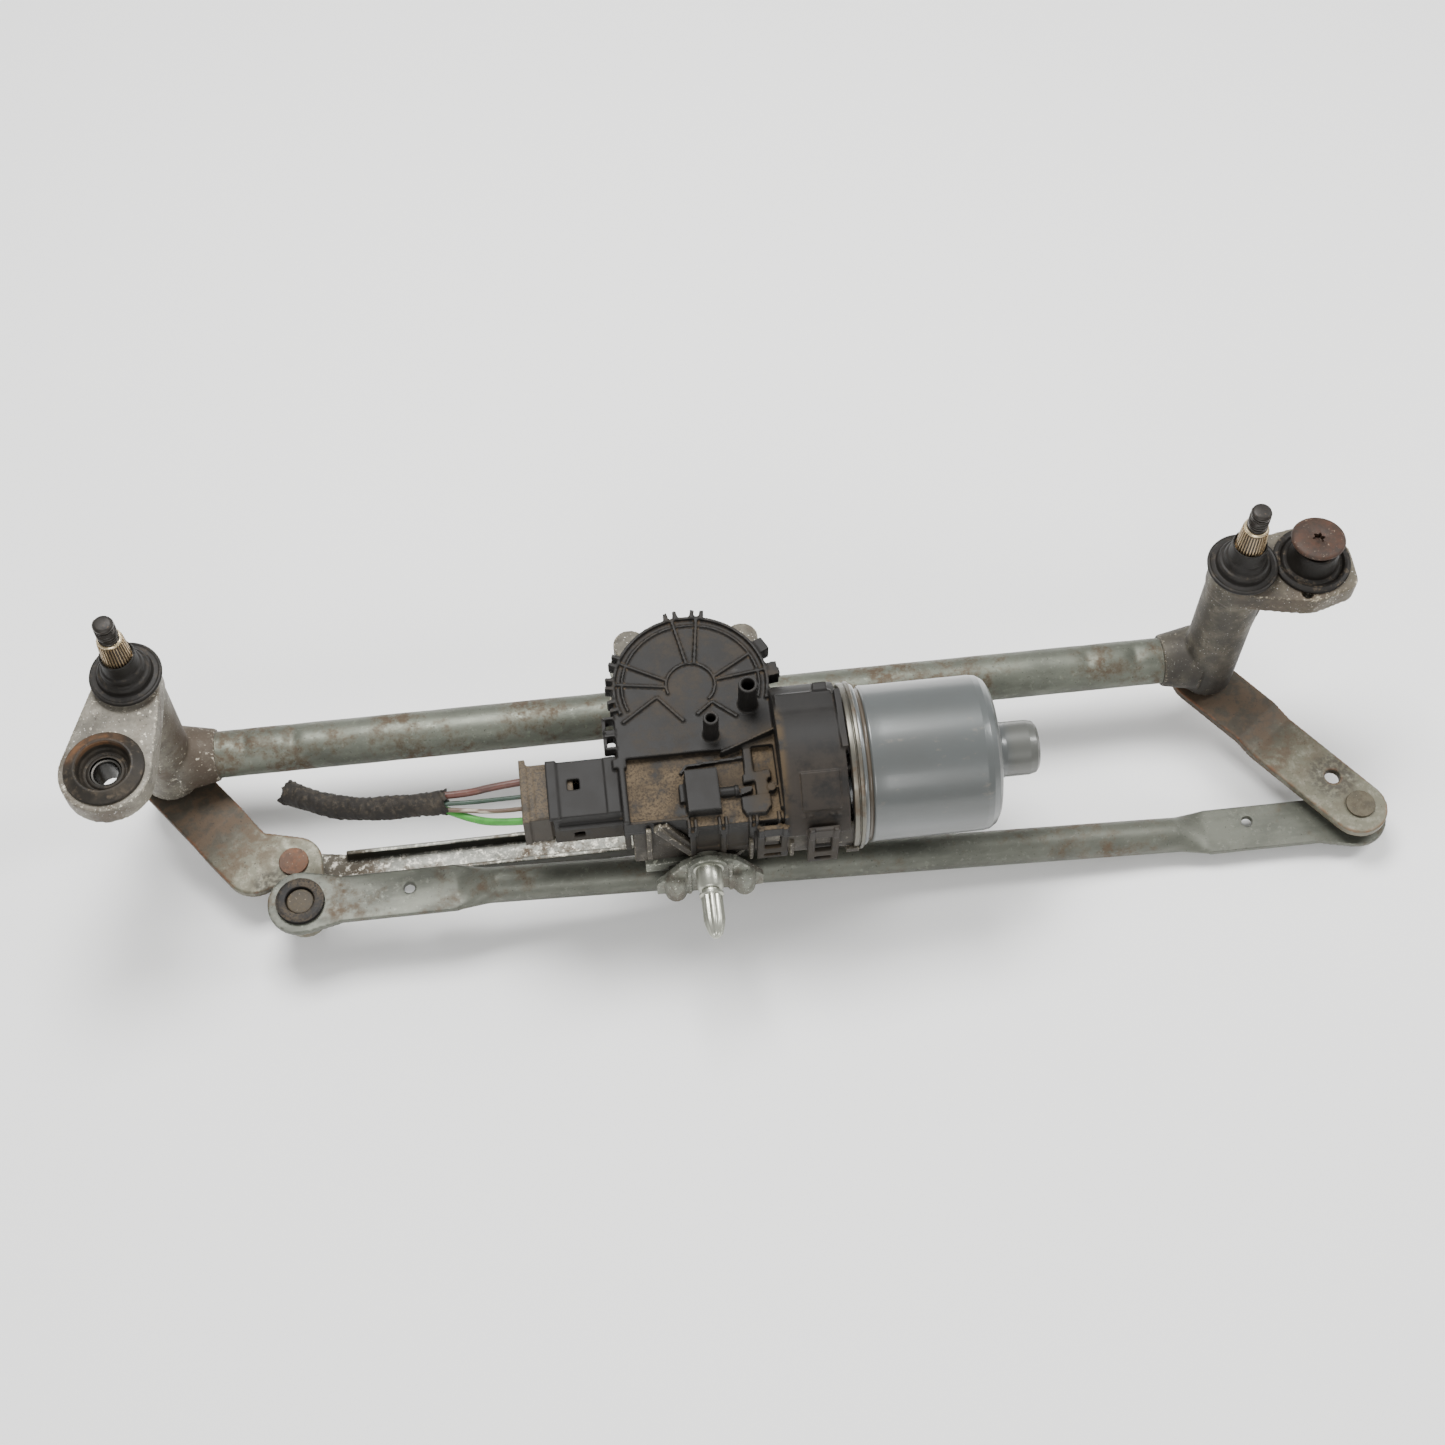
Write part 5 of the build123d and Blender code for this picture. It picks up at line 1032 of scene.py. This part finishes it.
motor_can()
gear_case()
moulded_nodes((("bracket_skin", "motor_bracket", "bracket_casting", 0.45, 1, 0.5),))

def polar(radius, degrees):
    return (GEAR_X + radius * math.cos(math.radians(degrees)), GEAR_Y + radius * math.sin(math.radians(degrees)))


def snap_frame(s, x, y, top, low):
    """A plastic latch frame that hangs in front of the casing, with a square window and a slot under it."""
    for side in (-1, 1):
        s.block(x + side * 4.6 - 1.4, x + side * 4.6 + 1.4, y - 1.1, y + 0.9, low, top)
        s.block(x + side * 4.6 - 1.0, x + side * 4.6 + 1.0, y - 2.0, y - 0.8, top - 6.0, top + 1.0)
    s.block(x - 5.6, x + 5.6, y - 1.1, y + 0.9, top - 6.5, top)
    s.block(x - 5.4, x + 5.4, y - 1.1, y + 0.9, low + 4.0, low + 8.4)
    s.block(x - 5.2, x + 5.2, y - 1.0, y + 0.8, low, low + 1.8)


def cover():
    """The moulded gear cover: ribs, rim rings, trays, forked tabs, vents, label shell and plug box."""
    s = Stock().node("gear_cover")
    for a0, a1, height in (
            ((30.2, 98.6), (9.3, 94.6), 1.5), ((30.6, 79.8), (9.2, 75.2), 1.5), ((26.8, 25.2), (9.9, 15.8), 1.3),
            ((31.0, 7.2), (10.6, 6.7), 1.3), ((30.0, 155.1), (9.2, 164.0), 1.3), ((30.0, 173.9), (9.9, 180.0), 1.3),
            ((30.9, -153.1), (14.0, -163.1), 1.3), ((14.0, -163.1), (16.3, -104.8), 1.1),
            ((13.4, -85.1), (11.2, -47.8), 1.1), ((11.2, -47.8), (22.8, -44.3), 1.1)):
        s.rib(*polar(*a0), *polar(*a1), 1.1, TOP - 1.0, TOP + height)
    s.band(GEAR_X, GEAR_Y, 29.2, 30.4, -18, 200, TOP - 1.0, TOP + 1.6)
    s.band(GEAR_X, GEAR_Y, 26.2, 27.1, -18, 200, TOP - 1.0, TOP + 1.0)
    s.band(GEAR_X, GEAR_Y, 9.0, 9.9, -48, 200, TOP - 1.0, TOP + 1.1)
    for angle in (98.6, 79.8, 155.0, 174.0, 192.0):
        for off in (-3.4, 3.4):
            x, y = polar(31.4, angle + off)
            s.block(x - 1.8, x + 1.8, y - 0.8, y + 0.8, TOP - 4.0, TOP + 1.9, angle)
    for angle in (6.3, 26.7):
        x, y = polar(32.4, angle)
        s.block(x - 2.2, x + 2.2, y - 3.0, y + 3.0, TOP - 6.0, TOP + 1.0, angle)
        s.block(x - 0.4, x + 3.0, y - 1.2, y + 1.2, TOP - 5.0, TOP - 1.0, angle)
    # left edge: upright wall with two open latch frames
    s.block(181.3, 183.6, -73.0, -24.0, TRAY - 16.0, TRAY + 2.6)
    for y in (-31.0, -38.5):
        s.block(177.6, 181.6, y - 3.4, y - 2.2, TOP - 5.0, TOP + 0.6)
        s.block(177.6, 181.6, y + 2.2, y + 3.4, TOP - 5.0, TOP + 0.6)
        s.block(176.8, 178.2, y - 3.4, y + 3.4, TOP - 5.0, TOP - 0.2)
    s.block(179.5, 184.5, -49.5, -45.5, TRAY - 2.0, TRAY + 3.4)
    # tray: front lip, rear ledge, square boss with its notch, stub and forked clip
    s.block(182.0, 206.0, -73.2, -71.9, TRAY - 6.0, TRAY + 1.3)
    s.rib(207.0, -51.0, 229.0, -49.6, 1.2, TRAY - 0.5, TRAY + 2.0)
    s.rib(204.6, -54.0, 207.4, -50.6, 1.2, TRAY - 0.5, TRAY + 2.0)
    s.block(203.4, 206.4, -66.5, -59.0, TRAY - 0.5, TRAY + 3.0)
    s.block(205.6, 207.0, -69.5, -56.5, TRAY - 0.5, TRAY + 4.2)
    s.rod((218.0, -63.6, TRAY + 1.6), (225.2, -63.6, TRAY + 1.6), 2.0, 28)
    s.rod((224.6, -63.6, TRAY + 1.6), (226.0, -63.6, TRAY + 1.6), 2.5, 28, 2.2)
    s.prism([(228.8, -57.0), (232.6, -57.0), (232.4, -43.6), (229.4, -43.6)], TRAY - 0.5, TRAY + 2.8)
    s.prism([(228.0, -60.9), (238.8, -59.6), (238.8, -55.8), (228.0, -57.4)], TRAY - 0.5, TRAY + 2.8)
    s.prism([(232.6, -68.0), (237.0, -68.0), (237.4, -58.0), (232.4, -58.0)], TRAY - 0.5, TRAY + 2.8)
    s.prism([(227.8, -74.2), (235.0, -74.2), (237.6, -71.4), (237.4, -66.6), (226.4, -66.8), (226.4, -71.8)],
            TRAY - 0.5, TRAY + 3.0)
    s.prism([(226.2, -66.0), (230.8, -64.6), (231.4, -62.6), (228.6, -62.4), (226.2, -63.4)], TRAY - 0.5, TRAY + 2.4)
    s.rod((238.4, -64.0, TRAY - 0.5), (238.4, -64.0, TRAY + 3.4), 1.7, 28)
    # thin fin that rises to the label shell, and the rail with its hooks along the front
    s.prism([(218.6, -48.0), (243.5, -42.4), (243.5, -40.6), (230.0, -44.6)], TRAY - 0.5, TOP + 0.6)
    s.rib(221.0, -47.4, 243.5, -41.4, 0.9, TRAY, TOP + 0.2, TOP + 5.5)
    s.block(205.5, 263.5, -76.0, -72.5, TRAY - 4.2, TRAY - 0.4)
    for x in (207.0, 218.6, 230.2, 241.2, 250.4, 261.2):
        for off in (-1.25, 1.25):
            s.block(x + off - 0.55, x + off + 0.55, -77.2, -73.4, TRAY - 6.5, TRAY + 1.5)
    # skirts and snap frames in front of the casing
    s.block(206.2, 230.6, -75.4, -74.0, TRAY - 22.0, TRAY - 3.0)
    for x in (207.0, 218.6, 229.6):
        s.block(x - 1.1, x + 1.1, -77.2, -74.2, TRAY - 23.5, TRAY - 3.0)
    s.block(209.0, 217.0, -76.2, -74.2, TRAY - 23.0, TRAY - 19.5)
    s.block(220.4, 228.2, -76.0, -74.2, TRAY - 24.0, TRAY - 20.5)
    snap_frame(s, 237.4, -78.2, TRAY - 2.5, TRAY - 27.5)
    snap_frame(s, 256.4, -81.4, TRAY - 1.5, TRAY - 28.0)
    # label shell: a bend across its front, a stepped panel and two end ribs
    outline = [(MOTOR_Y - r * math.sin(math.radians(t)), MOTOR_Z + r * math.cos(math.radians(t)))
               for r, sweep in ((34.0, range(29, 56, 2)), (32.4, range(55, 28, -2))) for t in sweep]
    s.wall(outline[::-1], 249.0, 263.5)
    s.block(265.6, 268.2, MOTOR_Y - 9.0, MOTOR_Y + 16.0, MOTOR_Z + 27.0, MOTOR_Z + 33.6)
    s.wall([(-46.0, CAP - 9.2), (-31.0, CAP - 11.2), (-27.6, CAP - 16.5), (-34.0, CAP - 20.0)][::-1], 243.0, 265.0)
    s.block(258.0, 263.5, -31.0, -27.4, CAP - 16.0, CAP - 10.4)
    # plug box: collar, rear rim and front rail
    s.block(153.6, 157.6, -67.6, -42.4, CAP - 26.2, CAP - 24.4)
    s.block(176.0, 181.6, -67.2, -43.0, CAP - 25.4, CAP - 24.5)
    s.block(157.0, 182.0, -68.4, -66.6, CAP - 33.5, CAP - 30.5)
    moulded("cover_skin", s, M["cover_plastic"], ["gear_cover"], 0.42, 1, 0.35)


cover()


def catches():
    """The casing's bright wedges inside the snap frames, and the bracket's tongues between them."""
    s = Stock()
    s.block(234.6, 240.2, -78.0, -73.5, TRAY - 15.5, TRAY - 9.5)
    s.block(253.6, 259.2, -81.0, -76.5, TRAY - 15.5, TRAY - 9.5)
    s.block(228.4, 229.8, -79.6, -77.0, TRAY - 26.0, TRAY - 12.0, 8)
    s.block(243.4, 245.0, -81.0, -76.0, TRAY - 24.0, TRAY - 13.0, 12)
    s.block(266.0, 271.0, -80.6, -78.6, TRAY - 27.0, TRAY - 24.0)
    moulded("catch_wedges", s, M["gear_casting"], ["gear_housing"], 0.4, 1, 0.6)
    strip = Stock()
    strip.rod((193.6, -74.6, CAP - 26.0), (208.6, -75.4, CAP - 52.0), 2.2, 4)
    strip.rod((196.4, -73.8, CAP - 26.0), (210.0, -74.6, CAP - 50.0), 1.6, 4)
    strip.block(189.4, 191.4, -75.6, -73.4, CAP - 52.0, CAP - 27.5)
    moulded("bracket_strip", strip, M["gear_casting"], ["motor_bracket"], 0.4, 1, 0.6)


catches()


def pin():
    """Plated locating pin: a plain base, a rolled ring, then eight flutes to a blunt point."""
    low, high = span("locating_pin")
    x, z = (low[0] + high[0]) / 2, (low[2] + high[2]) / 2
    y0, y1 = high[1], low[1]
    stations = [(0.6, y0), (5.9, y0 - 1.0), (5.9, y0 - 6.4), (5.1, y0 - 6.6), (5.0, y0 - 14.2), (4.4, y0 - 15.0),
                (3.6, y0 - 15.4), (3.6, y0 - 16.0), (4.7, y0 - 16.5), (4.8, y0 - 17.4), (4.2, y0 - 18.0),
                (4.15, y0 - 19.0), (4.15, y1 + 7.5), (3.7, y1 + 5.0), (2.6, y1 + 1.6), (1.3, y1 + 0.2), (0.5, y1)]
    rings = []
    for i, (r, y) in enumerate(stations):
        flute = 0.0 if i < 10 else 0.13
        ring = []
        for t in circle(96):
            reach = r * (1.0 - flute * (0.5 - 0.5 * math.cos(8 * t)) ** 2)
            ring.append((x + reach * math.cos(t), y, z + reach * math.sin(t)))
        rings.append(ring)
    seat(skinned("pin_skin", rings, 38, capped=True), M["pin_plate"], ["locating_pin"])

pin()
moulded_nodes((("plug_skin", "harness_plug", "plug_plastic", 0.45, 2, 0.5),))

# ---------------------------------------------------------------- pieces that keep their CAD meshes
INNER = {
    "left_retaining_ring": "steel", "right_retaining_ring": "steel", "left_thrust_washers": "steel",
    "right_thrust_washers": "steel", "left_spindle_bushes": "bronze", "right_spindle_bushes": "bronze",
    "output_bush": "bronze", "brush_holder": "socket_plastic", "carbon_brushes": "carbon", "brush_springs": "steel",
    "field_magnets": "ferrite", "rear_bearing": "steel", "front_bearing": "steel", "cover_seal": "seal_rubber",
    "circuit_board": "board", "connector_terminals": "collar_steel", "motor_mount_screws": "steel",
    "motor_crank": "right_lever", "crank_ball_stud": "steel", "crank_socket": "socket_plastic", "crank_nut": "steel",
    "output_shaft": "steel", "worm_gear": "gear_nylon", "armature_shaft": "steel", "armature_core": "laminations",
    "armature_windings": "copper", "commutator": "copper",
}


def keep_cad_meshes():
    for node, finish in INNER.items():
        obj = NODES[node]
        obj.data.materials.clear()
        obj.data.materials.append(M[finish])


keep_cad_meshes()
